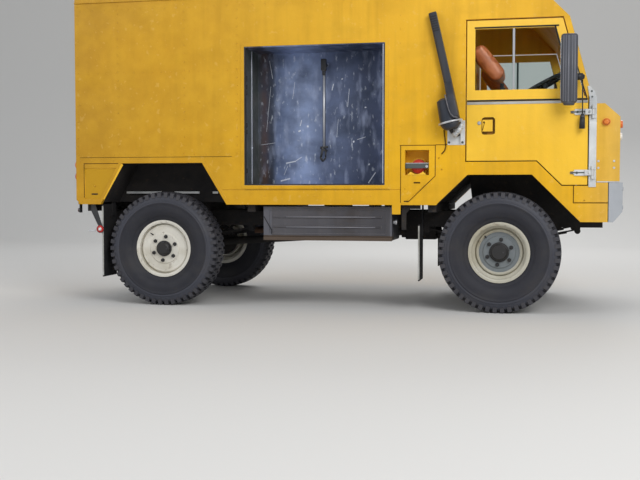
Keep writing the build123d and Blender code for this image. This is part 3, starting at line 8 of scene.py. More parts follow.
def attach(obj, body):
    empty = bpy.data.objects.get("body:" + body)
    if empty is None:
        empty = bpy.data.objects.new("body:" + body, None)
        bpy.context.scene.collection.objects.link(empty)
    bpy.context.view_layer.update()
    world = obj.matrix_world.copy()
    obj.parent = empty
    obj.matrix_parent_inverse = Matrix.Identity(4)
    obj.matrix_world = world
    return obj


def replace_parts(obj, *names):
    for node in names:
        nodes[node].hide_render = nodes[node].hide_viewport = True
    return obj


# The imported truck: four wheels on a ladder frame, a tall box body and a cab over the front wheels.
# X runs forward, Y to the left and Z up, in metres.
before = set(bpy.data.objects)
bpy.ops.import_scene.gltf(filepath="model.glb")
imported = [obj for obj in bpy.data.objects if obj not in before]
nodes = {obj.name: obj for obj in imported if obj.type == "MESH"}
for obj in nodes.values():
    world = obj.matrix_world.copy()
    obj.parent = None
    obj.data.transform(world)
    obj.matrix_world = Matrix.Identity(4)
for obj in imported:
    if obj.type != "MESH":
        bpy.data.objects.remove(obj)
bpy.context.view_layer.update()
scene = bpy.context.scene
scene.view_settings.view_transform = "Standard"
SIDES = (-1, 1)
SIDE_Y = 0.95
FRONT_AXLE_X = 1.2375
REAR_AXLE_X = -1.3275
WHEEL_Y = 0.7745
WHEEL_Z = 0.44
SEAT_Y = 0.6445


# The viewer stands eight metres to the right of the truck, with the eye a little under a metre high,
# and looks slightly to the rear.
camera = bpy.data.objects.new("camera", bpy.data.cameras.new("camera"))
camera.data.sensor_width = 36
camera.data.lens = 981 / 640 * 36
camera.location = (1.466, -8.043, 0.8715)
camera.rotation_euler = (math.pi / 2 - 0.048, 0, 0.2125)
scene.collection.objects.link(camera)
scene.camera = camera


# The studio is a pale plaster floor that sweeps up into a wall, under three soft lamps and a pale sky.
def add_node(tree, kind, inputs, **options):
    """A shader node with its options set, and its inputs filled with values or joined to other nodes."""
    node = tree.nodes.new(f"ShaderNode{kind}")
    for option, value in options.items():
        setattr(node, option, value)
    fill_inputs(tree, node, inputs)
    return node


def fill_inputs(tree, node, inputs):
    """Set inputs of a node, each to a value or to the output of another node."""
    for key, value in inputs.items():
        if isinstance(value, bpy.types.NodeSocket):
            tree.links.new(value, node.inputs[key])
        else:
            node.inputs[key].default_value = value


def plain_finish(name, colour, roughness, **inputs):
    """An even finish without marks."""
    material = bpy.data.materials.new(name)
    material.use_nodes = True
    fill_inputs(material.node_tree, material.node_tree.nodes["Principled BSDF"],
                {"Base Color": (*colour, 1), "Roughness": roughness, **inputs})
    return material


def moved_verts(geometry):
    """The vertices among what an extrusion made."""
    return [part for part in geometry if isinstance(part, bmesh.types.BMVert)]


def smooth_faces(shape):
    """Shade every face of a shape as part of a curve."""
    for face in shape.faces:
        face.smooth = True


def round_edges(shape, edges, radius, segments):
    """Round some edges of a shape and give the vertices that this makes."""
    made = bmesh.ops.bevel(shape, geom=edges, offset=radius, offset_type="OFFSET", segments=segments,
                           profile=0.5, affect="EDGES", material=-1)
    return made["verts"]


WALL_X, WALL_Y, WALL_TOP = 32, 13, 18
floor = bmesh.new()
corners = [floor.verts.new(place) for place in ((-WALL_X, -2 * WALL_Y, 0), (-WALL_X, WALL_Y, 0),
                                                (-WALL_X, WALL_Y, WALL_TOP))]
edges = [floor.edges.new(corners[:2]), floor.edges.new(corners[1:])]
swept = bmesh.ops.extrude_edge_only(floor, edges=edges)["geom"]
bmesh.ops.translate(floor, vec=(2 * WALL_X, 0, 0), verts=moved_verts(swept))
fold = [e for e in floor.edges if all(abs(v.co.y - WALL_Y) < 0.01 and v.co.z < 0.01 for v in e.verts)]
round_edges(floor, fold, 5, 16)
smooth_faces(floor)
bmesh.ops.recalc_face_normals(floor, faces=floor.faces)
floor_mesh = bpy.data.meshes.new("studio_floor")
floor.to_mesh(floor_mesh)
floor.free()
studio = bpy.data.objects.new("studio_floor", floor_mesh)
scene.collection.objects.link(studio)
floor_mesh.materials.append(plain_finish("plaster", (0.72, 0.71, 0.69), 0.95))

sky = bpy.data.worlds.new("sky")
scene.world = sky
sky.use_nodes = True
path = add_node(sky.node_tree, "LightPath", {}).outputs
seen = add_node(sky.node_tree, "Math", {0: path["Is Camera Ray"], 1: path["Is Transmission Ray"]},
                operation="MAXIMUM")
level = add_node(sky.node_tree, "MapRange", {"To Min": 0.5, "To Max": 1.0, "Value": seen.outputs[0]})
fill_inputs(sky.node_tree, sky.node_tree.nodes["Background"],
            {"Strength": level.outputs["Result"], "Color": (0.93, 0.96, 1.0, 1)})

# Lamps: name, place, size, power
for name, place, size, power in (("lamp_front", (5.5, -8.5, 6.5), 5.0, 560),
                                 ("lamp_rear", (-6.5, -7.0, 5.5), 5.0, 150),
                                 ("lamp_far", (1.0, 8.0, 7.5), 6.0, 360)):
    lamp = bpy.data.objects.new(name, bpy.data.lights.new(name, "AREA"))
    lamp.data.size = size
    lamp.data.energy = power
    lamp.location = place
    lamp.rotation_euler = (Vector((0, 0, 1.1)) - Vector(place)).to_track_quat("-Z", "Y").to_euler()
    scene.collection.objects.link(lamp)


# Years outdoors leave the same marks on every outside surface: clouds of faded tone, fine grain, runs of rain
# and chips. Slow changes up and down and along the truck, which the finishes use for painted light and shade,
# and the edges are mixed in too. They are mixed once here and every finish draws on them.
marks_tree = bpy.data.node_groups.new("weather marks", "ShaderNodeTree")
marks_out = marks_tree.nodes.new("NodeGroupOutput")
surface = add_node(marks_tree, "TexCoord", {}).outputs["Object"]


def give_mark(name, value, kind="Float"):
    """Offer a mark to the finishes under a name."""
    marks_tree.interface.new_socket(name, in_out="OUTPUT", socket_type=f"NodeSocket{kind}")
    marks_tree.links.new(value, marks_out.inputs[name])


def spread_mark(value, none, full):
    """Stretch a value so that the mark is none at the first limit and full at the second."""
    spread = add_node(marks_tree, "MapRange", {"From Min": none, "From Max": full, "Value": value})
    return spread.outputs["Result"]


# Marks: name, scale, stretch along X, Y and Z, detail, darkest and lightest noise
for name, scale, stretch, detail, dark, light in (
        ("Cloud", 1.3, (1, 1, 1), 4, 0.36, 0.64), ("Mottle", 8.0, (1, 1, 1), 5, 0.38, 0.66),
        ("Grain", 150.0, (1, 1, 1), 2, 0.3, 0.7), ("Runs", 1.0, (16, 16, 1.1), 3, 0.45, 0.75),
        ("Chips", 26.0, (1, 1, 1), 6, 0.64, 0.68), ("Scuffs", 42.0, (1, 1, 0.45), 5, 0.62, 0.74),
        ("Smears", 9.0, (1.5, 1.5, 0.5), 6, 0.52, 0.72), ("Stains", 3.1, (1, 1, 1.6), 6, 0.5, 0.66)):
    place = add_node(marks_tree, "Mapping", {"Scale": stretch, "Vector": surface}).outputs["Vector"]
    noise = add_node(marks_tree, "TexNoise", {"Scale": scale, "Detail": detail, "Vector": place})
    give_mark(name, spread_mark(noise.outputs["Fac"], dark, light))
split = add_node(marks_tree, "SeparateXYZ", {"Vector": surface})
# Slow changes over the truck, used as painted light and shade: name, axis, where the mark is none and where
# it is full
for name, axis, none, full in (("Low", "Z", 1.15, 0.25), ("Rear", "X", 0.7, -1.9), ("High", "Z", 1.2, 2.3),
                               ("Front", "X", 1.75, 2.08)):
    give_mark(name, spread_mark(split.outputs[axis], none, full))
# Edges, found where a normal rounded over four millimetres turns away from the flat one
rounding = add_node(marks_tree, "Bevel", {"Radius": 0.004}, samples=4).outputs["Normal"]
flat = add_node(marks_tree, "NewGeometry", {}).outputs["Normal"]
turn = add_node(marks_tree, "VectorMath", {0: rounding, 1: flat}, operation="DOT_PRODUCT")
give_mark("Edge", spread_mark(turn.outputs["Value"], 0.995, 0.9))
give_mark("Rounded", rounding, "Vector")


# A second mask picks out one small block of space on both sides of the truck, where a part changes its
# finish.
patch_tree = bpy.data.node_groups.new("patch mask", "ShaderNodeTree")
for name in ("Middle", "Half"):
    patch_tree.interface.new_socket(name, in_out="INPUT", socket_type="NodeSocketVector")
patch_tree.interface.new_socket("Inside", in_out="OUTPUT", socket_type="NodeSocketFloat")
patch_in = patch_tree.nodes.new("NodeGroupInput")
patch_out = patch_tree.nodes.new("NodeGroupOutput")
patch_place = add_node(patch_tree, "TexCoord", {})
patch_split = add_node(patch_tree, "SeparateXYZ", {"Vector": patch_place.outputs["Object"]})
either_side = add_node(patch_tree, "Math", {0: patch_split.outputs["Y"]}, operation="ABSOLUTE")
folded = add_node(patch_tree, "CombineXYZ", {"X": patch_split.outputs["X"], "Y": either_side.outputs[0],
                                             "Z": patch_split.outputs["Z"]})
reach = folded.outputs["Vector"]
for operation, limit in (("SUBTRACT", "Middle"), ("ABSOLUTE", None), ("SUBTRACT", "Half")):
    limits = {1: patch_in.outputs[limit]} if limit else {}
    reach = add_node(patch_tree, "VectorMath", {0: reach, **limits}, operation=operation).outputs["Vector"]
beyond = add_node(patch_tree, "SeparateXYZ", {"Vector": reach})
furthest = beyond.outputs["X"]
for axis in ("Y", "Z"):
    larger = add_node(patch_tree, "Math", {0: furthest, 1: beyond.outputs[axis]}, operation="MAXIMUM")
    furthest = larger.outputs[0]
inside = add_node(patch_tree, "Math", {0: furthest, 1: 0}, operation="LESS_THAN")
patch_tree.links.new(inside.outputs[0], patch_out.inputs["Inside"])


def mix_colour(tree, first, second, amount):
    """The output of a node that mixes two colours."""
    return add_node(tree, "Mix", {6: first, 7: second, 0: amount}, data_type="RGBA").outputs[2]


def make_finish(name, colour, layers=(), roughness=0.5, metallic=0.0, bumps=(), dull=(), rounded=True,
                coat=0.0, specular=0.5):
    """A finish: its colour, layers of (mark, colour, amount), bumps of (mark, height), marks that dull it."""
    material = plain_finish(name, colour, roughness, **{
        "Metallic": metallic, "Coat Weight": coat, "Coat Roughness": 0.25, "Specular IOR Level": specular})
    tree = material.node_tree
    marks = add_node(tree, "Group", {}, node_tree=marks_tree).outputs
    results = {}
    for mark, mark_colour, amount in layers:
        strength = add_node(tree, "Math", {0: marks[mark], 1: amount}, operation="MULTIPLY")
        results["Base Color"] = mix_colour(tree, results.get("Base Color", (*colour, 1)), (*mark_colour, 1),
                                           strength.outputs[0])
    for mark, amount in dull:
        more = add_node(tree, "Math", {0: marks[mark], 1: amount, 2: results.get("Roughness", roughness)},
                        operation="MULTIPLY_ADD", use_clamp=True)
        results["Roughness"] = more.outputs[0]
    if rounded:
        results["Normal"] = marks["Rounded"]
    for mark, height in bumps:
        base = {"Normal": results["Normal"]} if "Normal" in results else {}
        bump = add_node(tree, "Bump", {"Distance": height, "Height": marks[mark], **base})
        results["Normal"] = bump.outputs["Normal"]
    fill_inputs(tree, tree.nodes["Principled BSDF"], results)
    return material


def current_value(socket):
    """What feeds an input now: the output joined to it, or its own value."""
    return socket.links[0].from_socket if socket.is_linked else socket.default_value


def add_patch(material, blocks, colour, metallic=None):
    """Give the surface inside some blocks of space, as pairs of low and high corners, another colour."""
    tree = material.node_tree
    inputs = tree.nodes["Principled BSDF"].inputs
    cover = None
    for low, high in blocks:
        middle = [(a + b) / 2 for a, b in zip(low, high)]
        half = [(b - a) / 2 for a, b in zip(low, high)]
        mask = add_node(tree, "Group", {"Middle": middle, "Half": half}, node_tree=patch_tree)
        found = mask.outputs["Inside"]
        if cover:
            found = add_node(tree, "Math", {0: cover, 1: found}, operation="MAXIMUM").outputs[0]
        cover = found
    base = inputs["Base Color"]
    tree.links.new(mix_colour(tree, current_value(base), (*colour, 1), cover), base)
    if metallic is not None:
        sheen = add_node(tree, "Math", {0: cover, 1: metallic, 2: current_value(inputs["Metallic"])},
                         operation="MULTIPLY_ADD")
        tree.links.new(sheen.outputs[0], inputs["Metallic"])


def coat_nodes(material, *names):
    """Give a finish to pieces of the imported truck."""
    for name in names:
        nodes[name].data.materials.clear()
        nodes[name].data.materials.append(material)


def make_piece(name, shape, material, body="chassis"):
    """Turn a finished bmesh into a piece that rides on a body of the truck."""
    bmesh.ops.recalc_face_normals(shape, faces=shape.faces)
    mesh = bpy.data.meshes.new(name)
    shape.to_mesh(mesh)
    shape.free()
    mesh.materials.append(material)
    piece = bpy.data.objects.new(name, mesh)
    scene.collection.objects.link(piece)
    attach(piece, body)
    return piece


def add_block(shape, corner, opposite, edge=0.0, segments=2):
    """A block between two opposite corners, with its edges rounded."""
    verts = bmesh.ops.create_cube(shape, size=1)["verts"]
    low = Vector([min(pair) for pair in zip(corner, opposite)])
    high = Vector([max(pair) for pair in zip(corner, opposite)])
    bmesh.ops.scale(shape, vec=high - low, verts=verts)
    bmesh.ops.translate(shape, vec=(low + high) / 2, verts=verts)
    if edge:
        verts = round_edges(shape, list({e for v in verts for e in v.link_edges}), edge, segments)
    return verts


def add_rod(shape, start, end, radius, segments=16, end_radius=None):
    """A round bar between two points, tapered if its end radius differs."""
    start, end = Vector(start), Vector(end)
    place = Matrix.Translation((start + end) / 2) @ (end - start).to_track_quat("Z", "Y").to_matrix().to_4x4()
    made = bmesh.ops.create_cone(shape, cap_ends=True, segments=segments, radius1=radius,
                                 radius2=radius if end_radius is None else end_radius,
                                 depth=(end - start).length, matrix=place)
    for face in {f for v in made["verts"] for f in v.link_faces}:
        face.smooth = len(face.verts) == 4
    return made["verts"]


def add_path(shape, points, radius, segments):
    """A row of round bars through some points."""
    for start, end in zip(points, points[1:]):
        add_rod(shape, start, end, radius, segments)


def add_strip(shape, start, end, y, width, thick):
    """A thin flat strip that lies on a side of the truck, between two points given in X and Z."""
    length = math.hypot(end[0] - start[0], end[1] - start[1])
    turn = Matrix.Rotation(math.atan2(end[0] - start[0], end[1] - start[1]), 4, "Y")
    verts = add_block(shape, (-width / 2, -thick / 2, 0), (width / 2, thick / 2, length))
    bmesh.ops.transform(shape, matrix=Matrix.Translation((start[0], y, start[1])) @ turn, verts=verts)


def add_rivets(shape, start, end, pitch, radius, out, head=0.45):
    """A row of small domed rivet heads from start to end, standing out along a direction."""
    start, end, out = Vector(start), Vector(end), Vector(out)
    count = max(1, round((end - start).length / pitch))
    for number in range(count + 1):
        foot = start.lerp(end, number / count)
        add_rod(shape, foot - out * 0.0005, foot + out * radius * head, radius, 7, radius * 0.5)


def turn_about_y(degrees):
    """A turn about the Y axis."""
    return Matrix.Rotation(math.radians(degrees), 4, "Y")


def add_turned(shape, points, axis, steps, closed=False, angle=math.tau):
    """A profile swept round an axis through the origin."""
    verts = [shape.verts.new(point) for point in points]
    following = verts[1:] + (verts[:1] if closed else [])
    edges = [shape.edges.new(pair) for pair in zip(verts, following)]
    bmesh.ops.spin(shape, geom=verts + edges, cent=(0, 0, 0), axis=axis, angle=angle, steps=steps,
                   use_merge=angle == math.tau)


def build_piece(name, material, slot, blocks=(), rods=(), strips=(), body="chassis", sides=(1,)):
    """A piece from lists of what add_block, add_rod and add_strip take, mirrored to each side asked for."""
    shape = bmesh.new()
    for side in sides:
        for add, forms in ((add_block, blocks), (add_rod, rods)):
            for (x0, y0, z0), (x1, y1, z1), *rest in forms:
                add(shape, (x0, side * y0, z0), (x1, side * y1, z1), *rest)
        for start, end, y, *rest in strips:
            add_strip(shape, start, end, side * y, *rest)
    return make_piece(name, shape, material, body)


# The body is aluminium sheet on a light frame, brush-painted in warm golden yellow, several coats deep. The
# yellow is painted lighter high up and at the front as painted light, and darker ochre towards the tail and
# low down as painted shade; the doors take a lighter copy of it as painted light.
yellow = make_finish(
    "yellow paint", (0.88, 0.475, 0.004),
    # High and Front are painted light on the upper body and the front; Rear and Low are painted shade at the
    # tail and low down
    (("High", (0.88, 0.5, 0.05), 0.6), ("Front", (0.74, 0.49, 0.13), 0.85),
     ("Rear", (0.46, 0.235, 0.012), 0.9), ("Cloud", (0.66, 0.33, 0.004), 0.38),
     ("Runs", (0.5, 0.26, 0.008), 0.38), ("Low", (0.62, 0.3, 0.004), 0.45),
     ("Stains", (0.5, 0.27, 0.015), 0.25), ("Mottle", (0.9, 0.52, 0.03), 0.2),
     ("Chips", (0.88, 0.6, 0.2), 0.16), ("Edge", (0.92, 0.58, 0.08), 0.35)),
    roughness=0.46, bumps=(("Mottle", 0.0012), ("Grain", 0.0002)), dull=(("Stains", 0.16), ("Cloud", 0.07)),
    coat=0.04, specular=0.3)
# A lighter copy of the body yellow, painted light where the lamps fall on the front of the body: on the doors
# and on small parts that catch the light. High adds a painted sheen up high and Low painted shade low down.
lit_yellow = make_finish(
    "lit yellow paint", (0.97, 0.58, 0.035),
    (("Cloud", (0.86, 0.47, 0.015), 0.45), ("Runs", (0.7, 0.4, 0.02), 0.25),
     ("High", (0.97, 0.62, 0.1), 0.5), ("Stains", (0.7, 0.4, 0.03), 0.2),
     ("Low", (0.8, 0.42, 0.006), 0.5), ("Chips", (0.95, 0.7, 0.25), 0.14),
     ("Edge", (0.97, 0.7, 0.15), 0.35)),
    roughness=0.42, bumps=(("Mottle", 0.0012), ("Grain", 0.0002)), dull=(("Stains", 0.18),), coat=0.06,
    specular=0.35)
# Painted shade in the filler pocket and in the recessed pressed corner behind each rear wheel
add_patch(yellow, (((0.566, 0.845, 1.002), (0.737, 0.9485, 1.178)),), (0.2, 0.09, 0.003))
add_patch(yellow, (((-1.94, 0.9, 0.825), (-1.66, 0.9478, 1.061)),), (0.56, 0.3, 0.006))
# Zinc of the rear door hinges, then of the cab door hinges with their dark tips
zinc = (0.62, 0.63, 0.63)
add_patch(yellow, [((-2.06, 0.6, low), (-2.0097, 0.8, high))
                   for low, high in ((1.02, 1.08), (1.475, 1.525), (2.095, 2.145))], zinc, 0.5)
for rear, front, shade in ((1.745, 1.9, zinc), (1.68, 1.745, (0.13, 0.13, 0.12))):
    add_patch(lit_yellow, (((rear, 0.9512, 0.985), (front, 1.0, 1.04)),
                            ((rear, 0.9512, 1.405), (front, 1.0, 1.462))), shade, 0.3)
# The bare upright of the sliding window and the lock, then the shaded handle pocket
add_patch(lit_yellow, (((1.31, 0.9, 1.602), (1.352, 0.96, 2.028)),
                        ((1.08, 0.9502, 1.352), (1.109, 0.965, 1.382))), (0.42, 0.43, 0.44), 0.6)
add_patch(lit_yellow, (((1.113, 0.928, 1.2865), (1.203, 0.9475, 1.405)),), (0.34, 0.16, 0.006))
coat_nodes(yellow, "body_side_right", "body_side_left", "body_roof", "rear_frame", "rear_door_left",
           "rear_door_right", "arch_panels", "cab_front", "windscreen_frame", "roof_vents", "bulkhead")
coat_nodes(lit_yellow, "cab_door_left", "cab_door_right")


# Domed rivets hold the sheets to the frame: a column at each post, rows along the rails, a ring round the
# spare-wheel opening and the filler panel, and one line down each side of the tail.
rivets = bmesh.new()
columns = [((x, 1.17), (x, 2.3), 0.062, 0.0052) for x in (-1.985, -1.653, -1.117, -0.7)]
rails = [((-1.97, z), (-0.7, z), 0.075, 0.0048) for z in (1.55, 1.79)]
feet = [((x - 0.014, 0.848), (x + 0.014, 0.848), 0.028, 0.005) for x in (-0.495, -0.095, 0.301)]
for side in SIDES:
    # Rows: start and end in X and Z, pitch, radius
    for start, end, pitch, radius in (
            *columns, *rails, ((-1.97, 1.165), (-0.76, 1.165), 0.09, 0.0048),
            ((-1.97, 1.12), (-1.7, 1.12), 0.09, 0.0048), ((-1.96, 2.27), (1.1, 2.27), 0.1, 0.0048),
            ((0.985, 1.14), (0.985, 2.08), 0.085, 0.0045), ((0.53, 1.25), (0.53, 2.25), 0.1, 0.0045), *feet):
        y = side * SIDE_Y
        add_rivets(rivets, (start[0], y, start[1]), (end[0], y, end[1]), pitch, radius, (0, side, 0))
    for x, z in ((0.566, 1.165), (0.81, 1.122), (0.83, 1.04), (0.566, 0.9), (1.8235, 0.819)):
        add_rivets(rivets, (x, side * 0.9515, z), (x + 0.001, side * 0.9515, z), 1, 0.0055, (0, side, 0))
# The ring round the spare-wheel opening: start and end in X and Z
for start, end in (((-0.66, 0.914), (0.432, 0.914)), ((-0.66, 1.974), (0.432, 1.974)),
                   ((-0.66, 0.96), (-0.66, 1.94)), ((0.432, 0.96), (0.432, 1.94))):
    add_rivets(rivets, (start[0], -0.953, start[1]), (end[0], -0.953, end[1]), 0.078, 0.004, (0, -1, 0))
make_piece("body_rivets", rivets, yellow)


# Dark brown strips in the joints between the sheets are painted shade in the grooves: round the filler panel,
# along the valance and under the tail panels.
shade_and_drain_brown = make_finish("brown of painted shade and drain", (0.075, 0.035, 0.004), (("Mottle", (0.16, 0.08, 0.008), 0.6),),
                      roughness=0.8, rounded=False, specular=0.2)
# Joints: start and end in X and Z, distance out from the sheet
build_piece("sheet_joints", shade_and_drain_brown, "yellow", sides=SIDES, strips=[
    (start, end, 0.9503 + out, 0.005, 0.0008) for start, end, out in (
        ((0.5275, 1.2145), (0.7875, 1.2145), 0.0022), ((0.7855, 1.2165), (0.9975, 1.2165), 0.0),
        ((0.784, 1.2165), (0.784, 0.995), 0.0022), ((0.7855, 0.995), (0.5935, 0.809), 0.0018),
        ((0.5345, 1.2165), (0.5345, 0.8), 0.0018), ((1.7495, 0.924), (1.7495, 0.8), 0.0),
        ((1.7495, 0.801), (1.982, 0.801), 0.0), ((-2.008, 1.142), (-0.7, 1.142), -0.001),
        ((-0.645, 0.892), (0.455, 0.892), -0.001), ((-1.942, 1.098), (-1.655, 1.098), 0.0002),
        ((-1.942, 1.1005), (-1.942, 0.835), 0.0002))])


# The pressed corner behind each rear wheel has a flange along its slope, bright in the lighter yellow as a
# painted highlight, one rivet and a dark slot.
press = bmesh.new()
for side in SIDES:
    for start, end, radius in (
            ((-1.8025, 0.823), (-1.6605, 1.062), 0.0035), ((-1.942, 1.062), (-1.661, 1.062), 0.003),
            ((-1.936, 0.823), (-1.942, 1.062), 0.003)):
        add_rod(press, (start[0], side * 0.944, start[1]), (end[0], side * 0.944, end[1]), radius, 8)
    add_strip(press, (-1.7865, 0.823), (-1.6265, 1.092), side * 0.9505, 0.022, 0.0016)
    add_rivets(press, (-1.855, side * 0.9475, 0.924), (-1.854, side * 0.9475, 0.924), 1, 0.006, (0, side, 0))
make_piece("corner_press_edge", press, lit_yellow)
trim_dark = make_finish("worn rubber and painted shade", (0.014, 0.014, 0.016), (("Mottle", (0.045, 0.042, 0.04), 0.5),),
                        roughness=0.75, bumps=(("Grain", 0.0004),), rounded=False, specular=0.3)
build_piece("corner_press_slots", trim_dark, "rubber", sides=SIDES,
            blocks=[((-1.882, 0.946, 0.858), (-1.83, 0.9485, 0.867), 0.001)])


# The spare wheel is gone from its recess: a tray of bare aluminium, painted brighter in the middle and darker
# and blue-grey towards its sides as painted light and shade, with a worn strip of rubber up its left edge and
# a dark strip along its bottom that is a painted shadow.
bare = make_finish(
    "bare aluminium", (0.3, 0.38, 0.58),
    (("Cloud", (0.13, 0.17, 0.28), 0.35), ("Stains", (0.06, 0.08, 0.13), 0.55),
     ("Smears", (0.62, 0.7, 0.95), 0.45), ("Mottle", (0.05, 0.06, 0.09), 0.4),
     ("Scuffs", (0.85, 0.9, 1.0), 0.45)),
    roughness=0.3, metallic=0.6, bumps=(("Scuffs", 0.0006), ("Mottle", 0.002)),
    dull=(("Stains", 0.3), ("Mottle", 0.12)), specular=0.4)
bare_tree = bare.node_tree
bare_place = add_node(bare_tree, "TexCoord", {})
bare_split = add_node(bare_tree, "SeparateXYZ", {"Vector": bare_place.outputs["Object"]})
across_tray = add_node(bare_tree, "MapRange",
                       {"From Min": -0.645, "From Max": 0.417, "Value": bare_split.outputs["X"]})
painted_light_ramp = add_node(bare_tree, "ValToRGB", {"Fac": across_tray.outputs["Result"]})
painted_light_ramp.color_ramp.interpolation = "EASE"
# Painted light and shade across the back of the tray: place from left to right, tone
for number, (place, tone) in enumerate((
        (0.0, (0.15, 0.18, 0.155)), (0.012, (0.12, 0.11, 0.09)), (0.055, (0.16, 0.088, 0.055)),
        (0.11, (0.06, 0.062, 0.075)), (0.155, (0.24, 0.31, 0.52)), (0.34, (0.36, 0.45, 0.7)),
        (0.56, (0.16, 0.2, 0.33)), (0.82, (0.065, 0.08, 0.14)), (1.0, (0.12, 0.15, 0.28)))):
    stop = painted_light_ramp.color_ramp.elements[number] if number < 2 else painted_light_ramp.color_ramp.elements.new(place)
    stop.position = place
    stop.color = (*tone, 1)
first_layer = next(n for n in bare_tree.nodes if n.bl_idname == "ShaderNodeMix" and not n.inputs[6].is_linked)
bare_tree.links.new(painted_light_ramp.outputs["Color"], first_layer.inputs[6])
add_patch(bare, (((-0.66, 0.59, 0.9), (-0.6355, 0.9495, 2.0)),), (0.115, 0.13, 0.118))
coat_nodes(bare, "spare_recess")
build_piece("recess_rubber_and_shadow", trim_dark, "rubber",
            [((-0.644, -0.9505, 0.934), (-0.631, -0.936, 1.954), 0.003)]
            + [((-0.632, -0.95, z), (-0.622, -0.938, z + 0.035), 0.004)
               for z in (1.02, 1.31, 1.36, 1.6, 1.645, 1.71)]
            # The strip along the bottom is a painted shadow line under the tray's lower edge
            + [((-0.64, -0.9505, 0.93), (0.412, -0.942, 0.938), 0.002),
               ((0.4125, -0.9505, 0.934), (0.4165, -0.936, 1.954), 0.001)])
scratched = make_finish("scratched aluminium", (0.75, 0.78, 0.86), (("Mottle", (0.5, 0.54, 0.62), 0.5),),
                        roughness=0.4, metallic=0.3, rounded=False)
build_piece("recess_corner", scratched, "aluminium",
            [((-0.6415, -0.778, 0.94), (-0.634, -0.766, 1.95), 0.001),
             ((0.4005, -0.9485, 0.94), (0.4045, -0.944, 1.95), 0.001)],
            [((-0.642, -0.775, 1.215), (-0.63, -0.775, 1.215), 0.008, 10)])
# Burrs left by the wheel: start and end in X and Z, width
burrs = (
        ((-0.413, 1.102), (-0.335, 1.118), 0.009), ((-0.335, 1.12), (-0.288, 1.15), 0.005),
        ((-0.457, 0.964), (-0.381, 0.983), 0.011), ((0.237, 0.947), (0.293, 1.028), 0.007),
        ((-0.3, 1.39), (-0.288, 1.437), 0.005), ((-0.241, 1.38), (-0.238, 1.394), 0.013),
        ((-0.314, 1.348), (-0.296, 1.356), 0.012), ((0.121, 1.258), (0.124, 1.272), 0.01),
        ((0.208, 1.524), (0.22, 1.527), 0.009), ((0.24, 1.084), (0.246, 1.096), 0.009),
        ((-0.048, 1.66), (-0.036, 1.71), 0.006), ((0.028, 1.742), (0.036, 1.75), 0.009),
        ((-0.52, 1.76), (-0.545, 1.9), 0.003), ((-0.57, 1.35), (-0.535, 1.7), 0.002),
        ((-0.615, 1.247), (-0.5, 1.262), 0.0025), ((0.075, 1.53), (0.088, 1.67), 0.003),
        ((-0.01, 1.3), (0.002, 1.44), 0.002), ((-0.36, 1.6), (-0.342, 1.73), 0.003),
        ((0.15, 1.28), (0.215, 1.3), 0.003), ((-0.43, 1.01), (-0.4, 1.08), 0.003))
build_piece("recess_burrs", scratched, "aluminium",
            strips=[(start, end, -0.5886, width, 0.0012) for start, end, width in burrs])


# A clamp once held the spare wheel: a worn steel rod with a black bracket above and a black hook below. Two
# thin black rods beside the steel rod are its painted shadow.
black = make_finish("black fittings and painted shadow", (0.016, 0.017, 0.02),
                    (("Mottle", (0.05, 0.05, 0.05), 0.5), ("Edge", (0.2, 0.2, 0.21), 0.5)),
                    bumps=(("Grain", 0.0003),), specular=0.4)
steel = make_finish("bright steel", (0.62, 0.63, 0.66), (("Mottle", (0.4, 0.4, 0.4), 0.4),), roughness=0.38,
                    metallic=0.5, rounded=False)
bar = build_piece("clamp_bar", steel, "steel_rim",
                  rods=[((-0.09, -0.685, 1.225), (-0.09, -0.685, 1.79), 0.0078, 14)])
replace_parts(bar, "clamp_rod")
build_piece("clamp_fittings_and_shadow", black, "plastic",
            [((-0.112, -0.705, 1.8), (-0.072, -0.664, 1.89), 0.007),
             ((-0.103, -0.7, 1.765), (-0.079, -0.67, 1.802), 0.005)],
            # Two thin black rods either side of the steel rod: its painted shadow on the tray
            [((-0.0985, -0.683, 1.215), (-0.0985, -0.683, 1.8), 0.0025, 8),
             ((-0.0815, -0.683, 1.215), (-0.0815, -0.683, 1.8), 0.0025, 8),
             ((-0.092, -0.664, 1.85), (-0.092, -0.588, 1.85), 0.012, 12),
             ((-0.118, -0.683, 1.215), (-0.06, -0.683, 1.222), 0.01, 12),
             ((-0.1, -0.683, 1.215), (-0.116, -0.683, 1.135), 0.009, 12),
             ((-0.116, -0.683, 1.14), (-0.098, -0.683, 1.112), 0.009, 12),
             ((-0.098, -0.683, 1.112), (-0.078, -0.683, 1.14), 0.007, 12),
             ((-0.078, -0.683, 1.14), (-0.076, -0.683, 1.195), 0.006, 12),
             ((-0.092, -0.683, 1.2), (-0.092, -0.588, 1.2), 0.01, 12)])


# The fuel filler sits in a pocket painted dark ochre as shade: a red domed cap, held by a grey-green metal
# strap with round bolt heads, in a yellow flange ring. A slot and a drain below it are dark strips of painted
# shade.
cap_red = make_finish("red cap paint", (0.55, 0.035, 0.02),
                      (("Mottle", (0.36, 0.03, 0.02), 0.5), ("Edge", (0.7, 0.25, 0.15), 0.5)), roughness=0.35)
coat_nodes(cap_red, "filler_cap")
filler_metal = make_finish("filler metal", (0.1, 0.115, 0.11), (("Mottle", (0.05, 0.065, 0.055), 0.6),),
                           roughness=0.45, metallic=0.3, bumps=(("Grain", 0.0003),))
build_piece("filler_strap", filler_metal, "aluminium",
            [((0.565, -0.9365, 1.049), (0.7375, -0.93, 1.086), 0.002),
             ((0.565, -0.932, 1.049), (0.573, -0.85, 1.086), 0.002),
             ((0.7295, -0.932, 1.049), (0.7375, -0.85, 1.086), 0.002)])
build_piece("filler_strap_bolts", steel, "galvanised",
            [((0.567, -0.9375, 1.084), (0.7355, -0.9305, 1.0885), 0.001)],
            [((0.722, -0.936, 1.063), (0.722, -0.9425, 1.063), 0.0105, 6)])
flange = bmesh.new()
